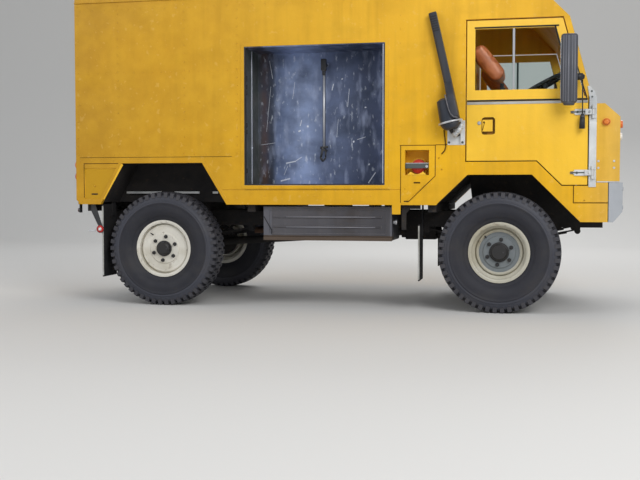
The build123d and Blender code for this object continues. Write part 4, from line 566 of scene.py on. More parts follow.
add_turned(flange, ((0.05, -0.846, 0), (0.05, -0.852, 0), (0.064, -0.852, 0), (0.067, -0.846, 0)),
           (0, 1, 0), 40, closed=True)
bmesh.ops.translate(flange, vec=(0.6565, 0, 1.063), verts=flange.verts)
make_piece("filler_flange", flange, lit_yellow)
build_piece("cap_skirt", cap_red, "plastic",
            rods=[((0.6565, -0.868, 1.063), (0.6565, -0.905, 1.063), 0.054, 36, 0.05)])
bowl = bmesh.new()
add_turned(bowl, ((0.0585, -0.9475, 0), (0.105, -0.9475, 0)), (0, 1, 0), 24, angle=math.radians(96))
bmesh.ops.transform(bowl, verts=bowl.verts,
                    matrix=Matrix.Translation((0.6515, 0, 1.0655)) @ turn_about_y(42))
bmesh.ops.solidify(bowl, geom=bowl.faces, thickness=0.003)
# The edges of the pocket cut the bowl: a point of each plane and the way out
for point, way in (((0, 0, 1.0015), (0, 0, -1)), ((0.5655, 0, 0), (-1, 0, 0)), ((0.7375, 0, 0), (1, 0, 0))):
    parts = bowl.verts[:] + bowl.edges[:] + bowl.faces[:]
    bmesh.ops.bisect_plane(bowl, geom=parts, plane_co=point, plane_no=way, clear_outer=True)
    bmesh.ops.holes_fill(bowl, edges=bowl.edges)
make_piece("filler_bowl", bowl, lit_yellow)
build_piece("filler_slots", shade_and_drain_brown, "rubber",
            [((0.629, -0.9535, 0.9395), (0.6765, -0.9515, 0.95), 0.0008),
             ((0.558, -0.9535, 0.8055), (0.593, -0.9515, 0.8145), 0.0008)])


# The corner posts, the bumper and the plate behind the intake are galvanised steel, gone dull and mottled,
# with whiter bloom in blotches.
galvanised = make_finish(
    "galvanised steel", (0.62, 0.64, 0.65),
    (("Mottle", (0.78, 0.79, 0.78), 0.6), ("Stains", (0.33, 0.34, 0.35), 0.5),
     ("Runs", (0.46, 0.43, 0.38), 0.3), ("Edge", (0.85, 0.85, 0.84), 0.4)),
    roughness=0.45, metallic=0.35, bumps=(("Mottle", 0.0008), ("Grain", 0.0003)),
    dull=(("Mottle", 0.15), ("Stains", 0.2)))
add_patch(galvanised, (((1.98, 0.0, 0.6), (2.12, 0.97, 0.95)),), (0.42, 0.44, 0.47))
coat_nodes(galvanised, "hinge_posts", "front_bumper", "intake_bracket")
build_piece("post_bolts", galvanised, "galvanised", sides=SIDES, rods=[
    *[((x, SIDE_Y, z), (x, SIDE_Y + 0.004, z), 0.0085, 12, 0.007)
      for x in (1.9155, 2.0205) for z in (1.092, 1.045)],
    *[((2.0805, y, z), (2.0885, y, z), 0.014, 6) for y in (0.365, 0.9) for z in (0.77, 0.9)]])
# Dark bolts on both sides: X, Z, foot and head out from the middle, radius
dark_bolts = [((x, side * foot, z), (x, side * head, z), radius, 10) for side in SIDES
              for x, z, foot, head, radius in (
                  (1.866, 1.577, 0.952, 0.9585, 0.0065), (1.869, 1.538, 0.952, 0.9585, 0.0065),
                  (1.8955, 1.368, 0.95, 0.9535, 0.007), (1.8955, 0.95, 0.95, 0.9535, 0.007))]
dark_bolts += [((x, -0.953, 1.232), (x, -0.9575, 1.232), 0.009, 6) for x in (0.8825, 0.9775)]
build_piece("dark_bolts", filler_metal, "steel_rim", rods=dark_bolts)
build_piece("fascia_lip", galvanised, "galvanised", [((1.905, 0.946, 0.944), (2.058, 0.953, 0.952), 0.001)],
            sides=SIDES)


# The cab doors are pressed panels on two strap hinges. A rubber line runs along the waist over a pale strip,
# the handle lies in a rounded pocket behind a yellow paddle, and the lock is a chromed boss.
pale = make_finish("pale worn paint", (0.5, 0.5, 0.48),
                   (("Mottle", (0.3, 0.3, 0.27), 0.6), ("Stains", (0.17, 0.16, 0.13), 0.6)),
                   roughness=0.55, bumps=(("Mottle", 0.0006),))
HINGE_HEIGHTS = (1.012, 1.434)


for side, body in ((-1, "cab_door_right"), (1, "cab_door_left")):
    # Pieces, as on the left door: name, finish, slot, blocks, rods, strips
    for name, finish, slot, *forms in (
            ("seals", trim_dark, "rubber",
             [((1.008, 0.948, 1.518), (1.84, 0.954, 1.53), 0.002),
              ((1.058, 0.942, 2.034), (1.64, 0.951, 2.044), 0.002)],
             [((1.7335, 0.946, 1.594), (1.6135, 0.946, 2.038), 0.0055, 8)],
             [((1.8335, 1.532), (1.726, 1.88), 0.9512, 0.0075, 0.002)]),
            ("waist_strip", pale, "galvanised", [((1.008, 0.949, 1.498), (1.84, 0.953, 1.516), 0.001)]),
            ("fasteners", steel, "galvanised", [((1.0925, 0.959, 1.362), (1.0965, 0.9605, 1.372))],
             [((1.0945, 0.955, 1.367), (1.0945, 0.96, 1.367), 0.0095, 16, 0.008)]),
            ("straps", galvanised, "galvanised",
             [((1.752, 0.954, z + low), (1.846, 0.9585, z + high), 0.002)
              for z in HINGE_HEIGHTS for low, high in ((0.004, 0.021), (-0.021, -0.004))],
             [((1.846, 0.959, z), (1.868, 0.959, z), 0.0165, 12, 0.01) for z in HINGE_HEIGHTS]),
            ("strap_creases", filler_metal, "steel_rim",
             [((1.745, 0.953, z - 0.005), (1.843, 0.9565, z + 0.005), 0.0008) for z in HINGE_HEIGHTS],
             [((1.771, 0.95, z), (1.771, 0.9625, z), 0.01, 10, 0.008) for z in HINGE_HEIGHTS]),
            ("paddle", lit_yellow, "yellow", [((1.1125, 0.938, 1.304), (1.1915, 0.9485, 1.393), 0.006)]),
            ("pocket_shade", shade_and_drain_brown, "rubber", [],
             [((1.1295, 0.9475, 1.4055), (1.192, 0.9475, 1.4055), 0.0035, 8),
              ((1.192, 0.9475, 1.4055), (1.2025, 0.9475, 1.395), 0.0035, 8),
              ((1.2025, 0.9475, 1.395), (1.2025, 0.9475, 1.292), 0.0035, 8),
              ((1.118, 0.946, 1.292), (1.15, 0.946, 1.292), 0.006, 10),
              ((1.1175, 0.947, 1.315), (1.132, 0.947, 1.372), 0.003, 8),
              ((1.1285, 0.948, 1.372), (1.1285, 0.951, 1.372), 0.007, 10)])):
        build_piece(f"{body}_{name}", finish, slot, *forms, body=body, sides=(side,))


# Toughened glass: the windscreen panes and rear lights sit in black rubber, the cab windows slide.
glass = plain_finish("window glass", (0.86, 0.92, 0.91), 0.03,
                     **{"Transmission Weight": 1.0, "IOR": 1.05, "Specular IOR Level": 0.5})
coat_nodes(glass, "fixed_glass", "cab_glass_left", "cab_glass_right", "rear_glass_left", "rear_glass_right")
to_screen = Matrix.Translation((1.8665, 0, 1.545)) @ Matrix.Rotation(-math.atan2(0.154, 0.555), 4, "Y")


def ring_bars(across, heights, width):
    """The four bars of an upright frame between two distances and two heights, each as a pair of corners."""
    (near, far), (low, high) = across, heights
    return (((near, low), (far, low + width)), ((near, high - width), (far, high)),
            ((near, low), (near + width, high)), ((far - width, low), (far, high)))


gaskets = bmesh.new()
for side in SIDES:
    for a, b in ring_bars(sorted((side * 0.014, side * 0.898)), (0.0485, 0.528), 0.017):
        verts = add_block(gaskets, (-0.004, *a), (0.005, *b), 0.003)
        bmesh.ops.transform(gaskets, matrix=to_screen, verts=verts)
make_piece("screen_gaskets", gaskets, trim_dark)
build_piece("side_window_gasket", trim_dark, "rubber",
            [((a[0], 0.948, a[1]), (b[0], 0.955, b[1]), 0.003)
             for a, b in ring_bars((-0.553, 0.063), (1.612, 2.058), 0.016)])
for side, body in ((-1, "rear_door_right"), (1, "rear_door_left")):
    build_piece(f"{body}_gasket", trim_dark, "rubber", body=body, sides=(side,), blocks=[
        ((-2.015, *a), (-2.008, *b), 0.003) for a, b in ring_bars((0.142, 0.628), (1.612, 2.058), 0.016)])
    build_piece(f"{body}_catch", steel, "galvanised", body=body, sides=(side,), blocks=[
        ((-2.014, 0.052, z), (-2.009, 0.088, z + 0.03), 0.001) for z in (1.275, 1.455)])


# Two wipers hang on the header over the windscreen: a black motor drum, an arm and a rubber blade each.
wiper_rods = []
for y in (-0.3, 0.56):
    tip = to_screen @ Vector((0.03, y - 0.22, 0.16))
    blade = [to_screen @ Vector((0.012, y + shift, z)) for shift, z in ((-0.34, 0.36), (-0.1, 0.09))]
    wiper_rods += [((1.735, y, 2.075), (1.765, y, 2.068), 0.026, 20),
                   ((1.762, y, 2.066), tip, 0.005, 8, 0.003), (*blade, 0.006, 8),
                   (tip, to_screen @ Vector((0.012, y - 0.22, 0.22)), 0.004, 8)]
build_piece("wipers", black, "rubber", rods=wiper_rods)


# The front carries a black wire guard, two headlamps in bright bezels and small round marker lamps.
coat_nodes(black, "grille")
lamp_glass = make_finish("headlamp glass", (0.72, 0.75, 0.76), (("Mottle", (0.9, 0.9, 0.92), 0.4),),
                         roughness=0.08, metallic=0.35, bumps=(("Runs", 0.002),), rounded=False, coat=1.0)
coat_nodes(lamp_glass, "headlamps")
bezels = bmesh.new()
for y in (-0.59, 0.59):
    add_turned(bezels, ((2.0585, 0.098, 0), (2.069, 0.103, 0), (2.0745, 0.094, 0), (2.0745, 0.084, 0),
                        (2.0725, 0.082, 0)), (1, 0, 0), 48)
    bmesh.ops.translate(bezels, vec=(0, y, 1.15), verts=[v for v in bezels.verts if v.co.z < 0.5])
smooth_faces(bezels)
bmesh.ops.remove_doubles(bezels, verts=bezels.verts, dist=0.00001)
make_piece("headlamp_bezels", bezels, steel)
lamp_bodies = make_finish("lamp bodies", (0.016, 0.017, 0.02), (("Mottle", (0.05, 0.05, 0.05), 0.4),),
                          roughness=0.3, rounded=False, coat=0.5)
add_patch(lamp_bodies, (((1.9, 0.9512, 1.3), (2.0, 1.0, 1.45)), ((2.06, 0.8, 1.305), (2.12, 0.95, 1.4)),
                        ((-2.1, 0.8, 1.05), (-2.0105, 0.95, 1.13))), (0.75, 0.16, 0.008))
add_patch(lamp_bodies, (((2.06, 0.8, 1.2), (2.12, 0.95, 1.304)),), (0.8, 0.8, 0.76))
add_patch(lamp_bodies, (((-2.1, 0.8, 0.95), (-2.0105, 0.95, 1.045)),), (0.55, 0.015, 0.01))
coat_nodes(lamp_bodies, "marker_lamps")


def add_lens(shape, place, out, radius, height, stretch=1.0):
    """A domed lens on a lamp, standing out along a direction."""
    place, out = Vector(place), Vector(out)
    step = place + out * height
    verts = add_rod(shape, place, step, radius, 24, radius * 0.86)
    verts += add_rod(shape, step, place + out * height * 1.35, radius * 0.86, 24, radius * 0.45)
    if stretch != 1.0:
        bmesh.ops.scale(shape, vec=(stretch, 1, 1), verts=verts, space=Matrix.Translation(-place))


# Lenses: piece, colour, slot, then for each lens its place on the left side, direction, radius, height and,
# where it isn't round, its stretch
for name, tint, slot, lenses in (
        ("amber", (0.85, 0.22, 0.015), "lamp",
         (((1.9655, 0.963, 1.363), (0, 1, 0), 0.023, 0.006, 1.12),
          ((2.0785, 0.88, 1.349), (1, 0, 0), 0.0235, 0.0015),
          ((-2.0325, 0.88, 1.09), (-1, 0, 0), 0.031, 0.006))),
        ("white", (0.82, 0.84, 0.82), "lamp_glass",
         (((2.0745, 0.88, 1.263), (1, 0, 0), 0.0235, 0.0035),
          ((-1.831, 0.917, 0.589), (0, 1, 0), 0.014, 0.003))),
        ("red", (0.62, 0.02, 0.015), "lamp",
         (((-2.0325, 0.88, 1.0), (-1, 0, 0), 0.031, 0.006),
          ((-2.0225, 0.88, 0.736), (-1, 0, 0), 0.016, 0.004),
          ((-1.831, 0.9135, 0.589), (0, 1, 0), 0.03, 0.003)))):
    finish = plain_finish(f"{name} lens", tint, 0.2, **{"Coat Weight": 0.6})
    lens_tree = finish.node_tree
    lens_place = add_node(lens_tree, "TexCoord", {}).outputs["Object"]
    rings = add_node(lens_tree, "TexWave", {"Scale": 90, "Vector": lens_place}, wave_type="RINGS")
    ribs = add_node(lens_tree, "Bump", {"Distance": 0.001, "Height": rings.outputs["Fac"]})
    fill_inputs(lens_tree, lens_tree.nodes["Principled BSDF"], {"Normal": ribs.outputs["Normal"]})
    shape = bmesh.new()
    for side in SIDES:
        for (x, y, z), out, *measures in lenses:
            add_lens(shape, (x, side * y, z), (out[0], side * out[1], 0), *measures)
    make_piece(f"{name}_lenses", shape, finish)


# The mirrors are tall boxes of dark blue-grey plastic with upright ribs down their backs, on black tube
# stays that clamp to the front edge of each door.
mirror_plastic = make_finish(
    "mirror plastic", (0.05, 0.053, 0.066),
    (("Cloud", (0.085, 0.088, 0.1), 0.6), ("Runs", (0.13, 0.13, 0.15), 0.35),
     ("Edge", (0.22, 0.23, 0.25), 0.5)),
    roughness=0.33, bumps=(("Grain", 0.0003),))
add_patch(mirror_plastic, (((1.758, 0.95, 1.3), (1.9, 1.05, 1.7)),), (0.012, 0.012, 0.014))
mirror_silver = plain_finish("mirror silver", (0.8, 0.82, 0.84), 0.04, Metallic=1)
rib_plastic = make_finish("worn mirror ribs", (0.15, 0.155, 0.18), (("Cloud", (0.25, 0.25, 0.28), 0.6),),
                          roughness=0.3)
for side, body, mirror in ((-1, "cab_door_right", "mirror_right"), (1, "cab_door_left", "mirror_left")):
    shell = bmesh.new()
    add_block(shell, (1.6515, side * 1.035, 1.487), (1.7635, side * 1.1, 1.96), 0.021, 5)
    smooth_faces(shell)
    foot = add_rod(shell, (1.7075, side * 1.068, 1.472), (1.7075, side * 1.068, 1.51), 0.034, 28, 0.05)
    bmesh.ops.scale(shell, vec=(1.0, 0.58, 1.0), verts=foot,
                    space=Matrix.Translation((-1.7075, -side * 1.068, -1.472)))
    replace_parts(make_piece(f"{body}_mirror_shell", shell, mirror_plastic, body), mirror)
    back = bmesh.new()
    for x, radius in ((1.669, 0.0035), (1.684, 0.0035), (1.702, 0.006), (1.7265, 0.003), (1.744, 0.0045)):
        add_rod(back, (x, side * 1.0985, 1.5), (x, side * 1.0985, 1.945), radius, 12)
        bmesh.ops.create_uvsphere(back, u_segments=12, v_segments=6, radius=radius,
                                  matrix=Matrix.Translation((x, side * 1.0985, 1.5)))
    smooth_faces(back)
    make_piece(f"{body}_mirror_ribs", back, rib_plastic, body)
    clamp_y = 1.004 - side * 0.006
    # Pieces, as on the left door: name, finish, slot, blocks, rods
    for name, finish, slot, *forms in (
            ("clamp", black, "plastic", [((1.792, 0.949, 1.352), (1.81, 0.99, 1.37), 0.003)],
             [((1.7525, 1.03, 1.672), (1.806, 1.0, 1.672), 0.0175, 20),
              ((1.7805, clamp_y, 1.65), (1.7805, clamp_y, 1.694), 0.022, 20),
              ((1.8, 0.992, 1.666), (1.803, 0.988, 1.4), 0.0045, 10),
              ((1.803, 0.988, 1.405), (1.8005, 0.987, 1.316), 0.0165, 20, 0.0205),
              ((1.8035, 0.988, 1.42), (1.8032, 0.988, 1.398), 0.01, 16, 0.0165)]),
            ("bolt", steel, "galvanised", [], [((1.7665, 1.0235, 1.664), (1.7665, 1.0245, 1.664), 0.008, 12),
                                               ((1.7685, 1.019, 1.672), (1.776, 1.0235, 1.672), 0.0095, 14)]),
            ("pane", mirror_silver, "glass", [((1.6495, 1.046, 1.515), (1.652, 1.089, 1.932), 0.001)])):
        build_piece(f"{body}_mirror_{name}", finish, slot, *forms, body=body, sides=(side,))


# The raised air intake is dark moulded plastic: a leaning duct, a round pot with a pale clamp band and a
# black cap, and a bright hose elbow that leaves under it.
intake_plastic = make_finish(
    "intake plastic", (0.02, 0.027, 0.042),
    (("Cloud", (0.055, 0.052, 0.055), 0.5), ("Runs", (0.095, 0.088, 0.085), 0.4),
     ("Edge", (0.13, 0.125, 0.14), 0.6)),
    roughness=0.4, bumps=(("Grain", 0.0004), ("Mottle", 0.0006)), specular=0.4)
coat_nodes(intake_plastic, "air_intake")
LEAN = turn_about_y(-13)
band = bmesh.new()
add_turned(band, ((0.0805, 0, -0.0075), (0.0865, 0, -0.007), (0.0865, 0, 0.005), (0.0805, 0, 0.0055)),
           (0, 0, 1), 48)
smooth_faces(band)
bmesh.ops.transform(band, matrix=Matrix.Translation((0.8975, -1.032, 1.372)) @ LEAN, verts=band.verts)
add_block(band, (0.957, -1.07, 1.372), (0.985, -1.045, 1.388), 0.003)
make_piece("intake_band", band, steel)
duct_foot = Matrix.Translation((0.9265, 0, 1.434)) @ LEAN
foot = bmesh.new()
outline = [foot.verts.new((-0.028, y, z)) for y, z in (
    (-0.99, -0.042), (-1.102, -0.042), (-1.119, -0.028), (-1.119, 0.075), (-1.1, 0.125), (-1.016, 0.225),
    (-0.99, 0.235))]
swept = bmesh.ops.extrude_face_region(foot, geom=[foot.faces.new(outline)])["geom"]
bmesh.ops.translate(foot, vec=(0.0565, 0, 0), verts=moved_verts(swept))
bmesh.ops.recalc_face_normals(foot, faces=foot.faces)
round_edges(foot, foot.edges[:], 0.009, 4)
smooth_faces(foot)
bmesh.ops.transform(foot, matrix=duct_foot, verts=foot.verts)
make_piece("intake_foot", foot, intake_plastic)
seam = bmesh.new()
seam_points = [Vector(point) for point in (
    (-0.033, -1.1, 0.135), (-0.032, -1.112, 0.085), (-0.03, -1.113, 0.03), (-0.024, -1.1155, -0.004),
    (-0.008, -1.1195, -0.03), (0.016, -1.117, -0.04))]
add_path(seam, seam_points, 0.0048, 10)
for point in seam_points[1:]:
    bmesh.ops.create_uvsphere(seam, u_segments=10, v_segments=6, radius=0.0048,
                              matrix=Matrix.Translation(point))
bmesh.ops.transform(seam, matrix=duct_foot, verts=seam.verts)
seam_plastic = make_finish("scuffed plastic edge", (0.16, 0.155, 0.17),
                           (("Mottle", (0.1, 0.1, 0.11), 0.6),))
make_piece("intake_seam", seam, seam_plastic)
elbow = bmesh.new()
bend = [Vector(point) for point in ((0.972, -1.015, 1.362), (0.967, -1.02, 1.335), (0.95, -1.02, 1.306),
                                    (0.934, -1.01, 1.292), (0.922, -0.99, 1.285))]
add_path(elbow, bend, 0.0185, 18)
for first, second in zip(bend, bend[1:]):
    add_rod(elbow, second, second + (second - first).normalized() * 0.006, 0.0215, 18)
make_piece("intake_elbow", elbow, galvanised)
# Hoses under the pot: name, finish, slot, radius, segments, points
for name, finish, slot, radius, segments, points in (
        ("intake_hose", black, "plastic", 0.014, 14,
         ((0.895, -1.0, 1.33), (0.905, -0.985, 1.305), (0.93, -0.975, 1.283), (0.955, -0.965, 1.292))),
        ("intake_drain", shade_and_drain_brown, "rubber", 0.0042, 8,
         ((0.8455, -0.956, 1.322), (0.849, -0.9545, 1.285), (0.8545, -0.9545, 1.25), (0.8595, -0.9545, 1.205),
          (0.852, -0.9545, 1.175), (0.8295, -0.9545, 1.15)))):
    shape = bmesh.new()
    add_path(shape, points, radius, segments)
    make_piece(name, shape, finish)
louvres = bmesh.new()
for number in range(7):
    z = 0.6 + number * 0.017
    add_block(louvres, (-0.022, -0.0645, z), (0.022, -0.061, z + 0.006), 0.001)
bmesh.ops.transform(louvres, matrix=Matrix.Translation((0.9265, -0.95, 1.434)) @ LEAN, verts=louvres.verts)
make_piece("intake_louvres", louvres, trim_dark)


# The tyres are cross-country covers: smooth dusty sidewalls with fine rings, shoulders paler and bluer with
# dust and a painted sheen, and block lugs in five rows round the tread.
rubber = make_finish(
    "tyre rubber", (0.014, 0.015, 0.023),
    (("Cloud", (0.026, 0.026, 0.035), 0.6), ("Mottle", (0.03, 0.03, 0.036), 0.5),
     ("Stains", (0.055, 0.05, 0.046), 0.3), ("Edge", (0.11, 0.11, 0.125), 0.5)),
    roughness=0.6, bumps=(("Grain", 0.0006),), dull=(("Cloud", 0.1),), rounded=False, specular=0.45)
lug_rubber = make_finish(
    "worn tread rubber", (0.032, 0.032, 0.041),
    (("Cloud", (0.06, 0.058, 0.066), 0.6), ("Mottle", (0.085, 0.082, 0.088), 0.4)),
    roughness=0.6, bumps=(("Grain", 0.0006),), rounded=False, specular=0.4)
dusty_sheen_shoulder = make_finish(
    "dusty shoulder rubber with painted sheen", (0.055, 0.058, 0.076),
    (("Cloud", (0.034, 0.035, 0.045), 0.6), ("Stains", (0.085, 0.078, 0.076), 0.4)),
    roughness=0.55, bumps=(("Grain", 0.0006),), rounded=False, specular=0.4)
# Half of the section of a cover, from bead to crown: distance from its middle, radius
outer = [
    (0.0783, 0.2036), (0.0795, 0.215), (0.082, 0.2255), (0.09, 0.233), (0.098, 0.243), (0.1005, 0.2505),
    (0.1035, 0.2515), (0.108, 0.266), (0.1095, 0.2675), (0.1135, 0.288), (0.1145, 0.2895), (0.117, 0.312),
    (0.118, 0.33), (0.1172, 0.348), (0.1192, 0.3505), (0.1185, 0.3545), (0.1152, 0.3565), (0.1135, 0.366),
    (0.115, 0.3685), (0.1135, 0.3725), (0.1105, 0.375), (0.107, 0.388), (0.104, 0.398), (0.097, 0.41),
    (0.088, 0.4195), (0.062, 0.4225), (0, 0.4235)]
section = [(0, a, r) for a, r in outer] + [(0, -a, r) for a, r in reversed(outer[:-1])]
LUG_COUNT = 50
LUG_FOOT, LUG_TOP = 0.41, 0.4398
SHOULDER_Y = 0.09
WHEELS = [(f"{end}_{name}", x, side) for end, x in (("front", FRONT_AXLE_X), ("rear", REAR_AXLE_X))
          for name, side in (("right", -1), ("left", 1))]
for place, x, side in WHEELS:
    middle = (x, side * WHEEL_Y, WHEEL_Z)
    cover = bmesh.new()
    add_turned(cover, section, (0, 1, 0), 120, closed=True)
    for face in cover.faces:
        face.smooth = True
        far = math.hypot(face.calc_center_median().x, face.calc_center_median().z)
        # The shoulder band takes the second finish: dust and a painted sheen
        face.material_index = int(0.3555 < far < 0.408)
    lugs = bmesh.new()
    for number in range(LUG_COUNT):
        # Rows beside the middle one: share of a pitch ahead, side of the tyre, nearest and furthest distance
        for ahead, turn, low, high in (
                (0.0, 1, 0.066, 0.103), (0.5, -1, 0.066, 0.103), (0.5, 1, 0.022, 0.056),
                (0.0, -1, 0.022, 0.056)):
            verts = add_block(lugs, (-0.0175, low, LUG_FOOT), (0.0175, high, LUG_TOP))
            for vert in verts:
                if vert.co.y > SHOULDER_Y:
                    on_top = vert.co.z > (LUG_FOOT + LUG_TOP) / 2
                    vert.co.y += 0.0 if on_top else 0.0055
                    vert.co.z -= 0.006 if on_top else 0.015
                    vert.co.x *= 0.85
                vert.co.y *= turn
            spin = Matrix.Rotation((number + ahead) * math.tau / LUG_COUNT, 4, "Y")
            bmesh.ops.transform(lugs, matrix=spin, verts=verts)
        verts = add_block(lugs, (-0.021, -0.013, LUG_FOOT), (0.021, 0.013, LUG_TOP))
        bmesh.ops.transform(lugs, matrix=Matrix.Rotation(number * math.tau / LUG_COUNT, 4, "Y"), verts=verts)
    for name, shape, finish in (("lugs", lugs, lug_rubber), ("cover", cover, rubber)):
        bmesh.ops.translate(shape, vec=middle, verts=shape.verts)
        piece = make_piece(f"tyre_{name}_{place}", shape, finish, f"wheel_{place}")
        if name == "cover":
            piece.data.materials.append(dusty_sheen_shoulder)
        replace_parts(piece, f"tyre_{place}")


# The wheels are pressed steel in cream paint, stained by brake dust and rust, with dark wheel studs and a
# black cast hub in the middle. The front wheels, set deeper, are painted darker with a grey dish as painted
# shade.
def make_wheel_paint(name, centre, side, disc, cream, shade):
    """Cream paint with the hub and studs black: they stand out from the disc and lie near the centre."""
    material = make_finish(name, cream, (("Cloud", shade, 0.35), ("Stains", (0.34, 0.29, 0.17), 0.4),
                                         ("Mottle", shade, 0.25), ("Chips", (0.16, 0.1, 0.06), 0.35)),
                           bumps=(("Mottle", 0.0006), ("Grain", 0.0004)), rounded=False)
    tree = material.node_tree
    base = tree.nodes["Principled BSDF"].inputs["Base Color"]
    where = add_node(tree, "TexCoord", {}).outputs["Object"]
    centred = add_node(tree, "Mapping", {"Location": [-c for c in centre], "Vector": where})
    parts = add_node(tree, "SeparateXYZ", {"Vector": centred.outputs["Vector"]}).outputs
    across = add_node(tree, "CombineXYZ", {"X": parts["X"], "Z": parts["Z"]}).outputs["Vector"]
    radius = add_node(tree, "VectorMath", {0: across}, operation="LENGTH").outputs["Value"]
    near = add_node(tree, "Math", {0: radius, 1: 0.13}, operation="LESS_THAN").outputs[0]
    stand = add_node(tree, "Math", {0: parts["Y"], 1: side}, operation="MULTIPLY").outputs[0]
    beyond = add_node(tree, "Math", {0: stand, 1: disc + 0.0012}, operation="GREATER_THAN").outputs[0]
    hub = add_node(tree, "Math", {0: near, 1: beyond}, operation="MULTIPLY").outputs[0]
    # On the deep-set front wheels the dish is painted grey: painted shade
    dish_radius = 0.147 if disc < 0.05 else 0.0
    dish_in_shade = add_node(tree, "Math", {0: radius, 1: dish_radius}, operation="LESS_THAN").outputs[0]
    grey = mix_colour(tree, current_value(base), (0.17, 0.19, 0.2, 1), dish_in_shade)
    tree.links.new(mix_colour(tree, grey, (0.018, 0.017, 0.017, 1), hub), base)
    return material


def from_hub(hub, side, ahead, out, up):
    """A point given by its distances from the middle of a wheel, forward, outward and up."""
    return hub[0] + ahead, hub[1] + side * out, hub[2] + up


# For each end: how far the disc stands out from the middle of the tyre, cream, shade; the darker front cream
# and shade are painted shade
WHEEL_LOOKS = {"front": (0.02, (0.6, 0.57, 0.47), (0.3, 0.29, 0.24)),
               "rear": (0.066, (0.76, 0.73, 0.65), (0.55, 0.53, 0.47))}
for place, x, side in WHEELS:
    disc, cream, shade = WHEEL_LOOKS[place.split("_")[0]]
    hub = (x, side * WHEEL_Y, WHEEL_Z)
    coat_nodes(make_wheel_paint(f"wheel paint {place}", hub, side, disc, cream, shade), f"rim_{place}")
    screws = [(from_hub(hub, side, 0.03, disc + 0.035, 0), from_hub(hub, side, 0.03, disc + 0.042, 0),
               0.006, 6)]
    nuts = []
    for number in range(6):
        angle = number * math.tau / 6 + 0.5
        ahead, up = 0.045 * math.cos(angle), 0.045 * math.sin(angle)
        screws.append((from_hub(hub, side, ahead, disc + 0.026, up),
                       from_hub(hub, side, ahead, disc + 0.032, up), 0.0065, 6))
        angle = number * math.tau / 6 + math.radians(52 if side < 0 else 22)
        ahead, up = side * 0.0925 * math.sin(angle), 0.0925 * math.cos(angle)
        nuts.append((from_hub(hub, side, ahead, disc - 0.01, up),
                     from_hub(hub, side, ahead, disc + 0.006, up), 0.0165, 6, 0.0155))
    valve = (from_hub(hub, side, -0.095, disc - 0.008, 0.105),
             from_hub(hub, side, -0.103, disc + 0.022, 0.117))
    nuts.append((*valve, 0.005, 8))
    build_piece(f"hub_screws_{place}", lug_rubber, "steel_rim", rods=screws, body=f"wheel_{place}")
    build_piece(f"wheel_nuts_{place}", black, "steel_rim", rods=nuts, body=f"wheel_{place}")


# The side tank hangs under the right sill: pressed aluminium, dull and creased, browned along its lower lip,
# painted lighter towards its rear end as a highlight, with a bright nub at its front end.
tank_skin = make_finish(
    "tank aluminium", (0.085, 0.082, 0.092),
    # Rear paints the tank lighter towards its rear end: a painted highlight
    (("Cloud", (0.045, 0.043, 0.05), 0.6), ("Rear", (0.16, 0.155, 0.17), 0.45),
     ("Stains", (0.05, 0.036, 0.026), 0.5), ("Runs", (0.15, 0.145, 0.155), 0.3),
     ("Edge", (0.3, 0.295, 0.31), 0.5)),
    roughness=0.4, metallic=0.35, bumps=(("Mottle", 0.002), ("Cloud", 0.006)), dull=(("Stains", 0.25),))
add_patch(tank_skin, (((-0.52, 0.8, 0.5), (0.48, 0.93, 0.553)),), (0.105, 0.075, 0.055))
add_patch(tank_skin, (((-0.52, 0.8, 0.553), (-0.446, 0.93, 0.8)),
                      ((0.45, 0.8, 0.553), (0.48, 0.93, 0.8))),
          (0.125, 0.125, 0.145))
coat_nodes(tank_skin, "side_tank")
build_piece("tank_nub", steel, "galvanised",
            rods=[((0.468, -0.86, 0.655), (0.49, -0.86, 0.655), 0.013, 16),
                  ((0.485, -0.86, 0.655), (0.497, -0.86, 0.655), 0.018, 6)])
swage_skin = make_finish("rubbed swages", (0.3, 0.3, 0.34), (("Cloud", (0.16, 0.16, 0.18), 0.7),),
                         roughness=0.4, metallic=0.3)
build_piece("tank_swages", swage_skin, "aluminium",
            rods=[((-0.335, -0.907, 0.692), (0.343, -0.907, 0.692), 0.0042, 8),
                  ((-0.335, -0.907, 0.616), (0.343, -0.907, 0.616), 0.0042, 8),
                  ((-0.505, -0.9055, 0.7665), (0.46, -0.9055, 0.7665), 0.002, 8)])
build_piece("tank_gusset", trim_dark, "aluminium",
            strips=[((-0.506, 0.694), (-0.446, 0.592), -0.9062, 0.006, 0.0016),
                    ((-0.446, 0.592), (-0.446, 0.562), -0.9062, 0.006, 0.0016)])


# Frame, springs, axles and shafts are under thick black-brown dirt and old underseal.
dirt = make_finish(
    "underseal and dirt", (0.016, 0.016, 0.018),
    (("Cloud", (0.032, 0.028, 0.026), 0.6), ("Mottle", (0.045, 0.038, 0.032), 0.4),
     ("Chips", (0.08, 0.055, 0.035), 0.3)),
    roughness=0.8, bumps=(("Mottle", 0.003), ("Grain", 0.001)), rounded=False, specular=0.25)
rust = make_finish("rusty iron", (0.1, 0.055, 0.035),
                   (("Mottle", (0.17, 0.075, 0.03), 0.7), ("Stains", (0.05, 0.035, 0.03), 0.6)),
                   roughness=0.85, bumps=(("Mottle", 0.002), ("Grain", 0.001)), rounded=False)
coat_nodes(dirt, "chassis_frame", "leaf_springs", "front_axle", "rear_axle", "propshafts", "drivetrain",
           "knuckle_left", "knuckle_right", "track_rod", "load_floor", "cab_floor")
coat_nodes(rust, "tow_pintle", "exhaust", "rear_step")
dampers = bmesh.new()
for y in (-0.2, 0.16):
    add_path(dampers, ((-1.2, y, 0.52), (-0.95, y, 0.66), (-0.8, y, 0.69)), 0.008, 10)
for side in SIDES:
    add_rod(dampers, (-1.34, side * 0.44, 0.5), (-1.26, side * 0.44, 0.78), 0.03, 20)
    add_rod(dampers, (1.19, side * 0.455, 0.5), (1.12, side * 0.455, 0.7), 0.026, 20)
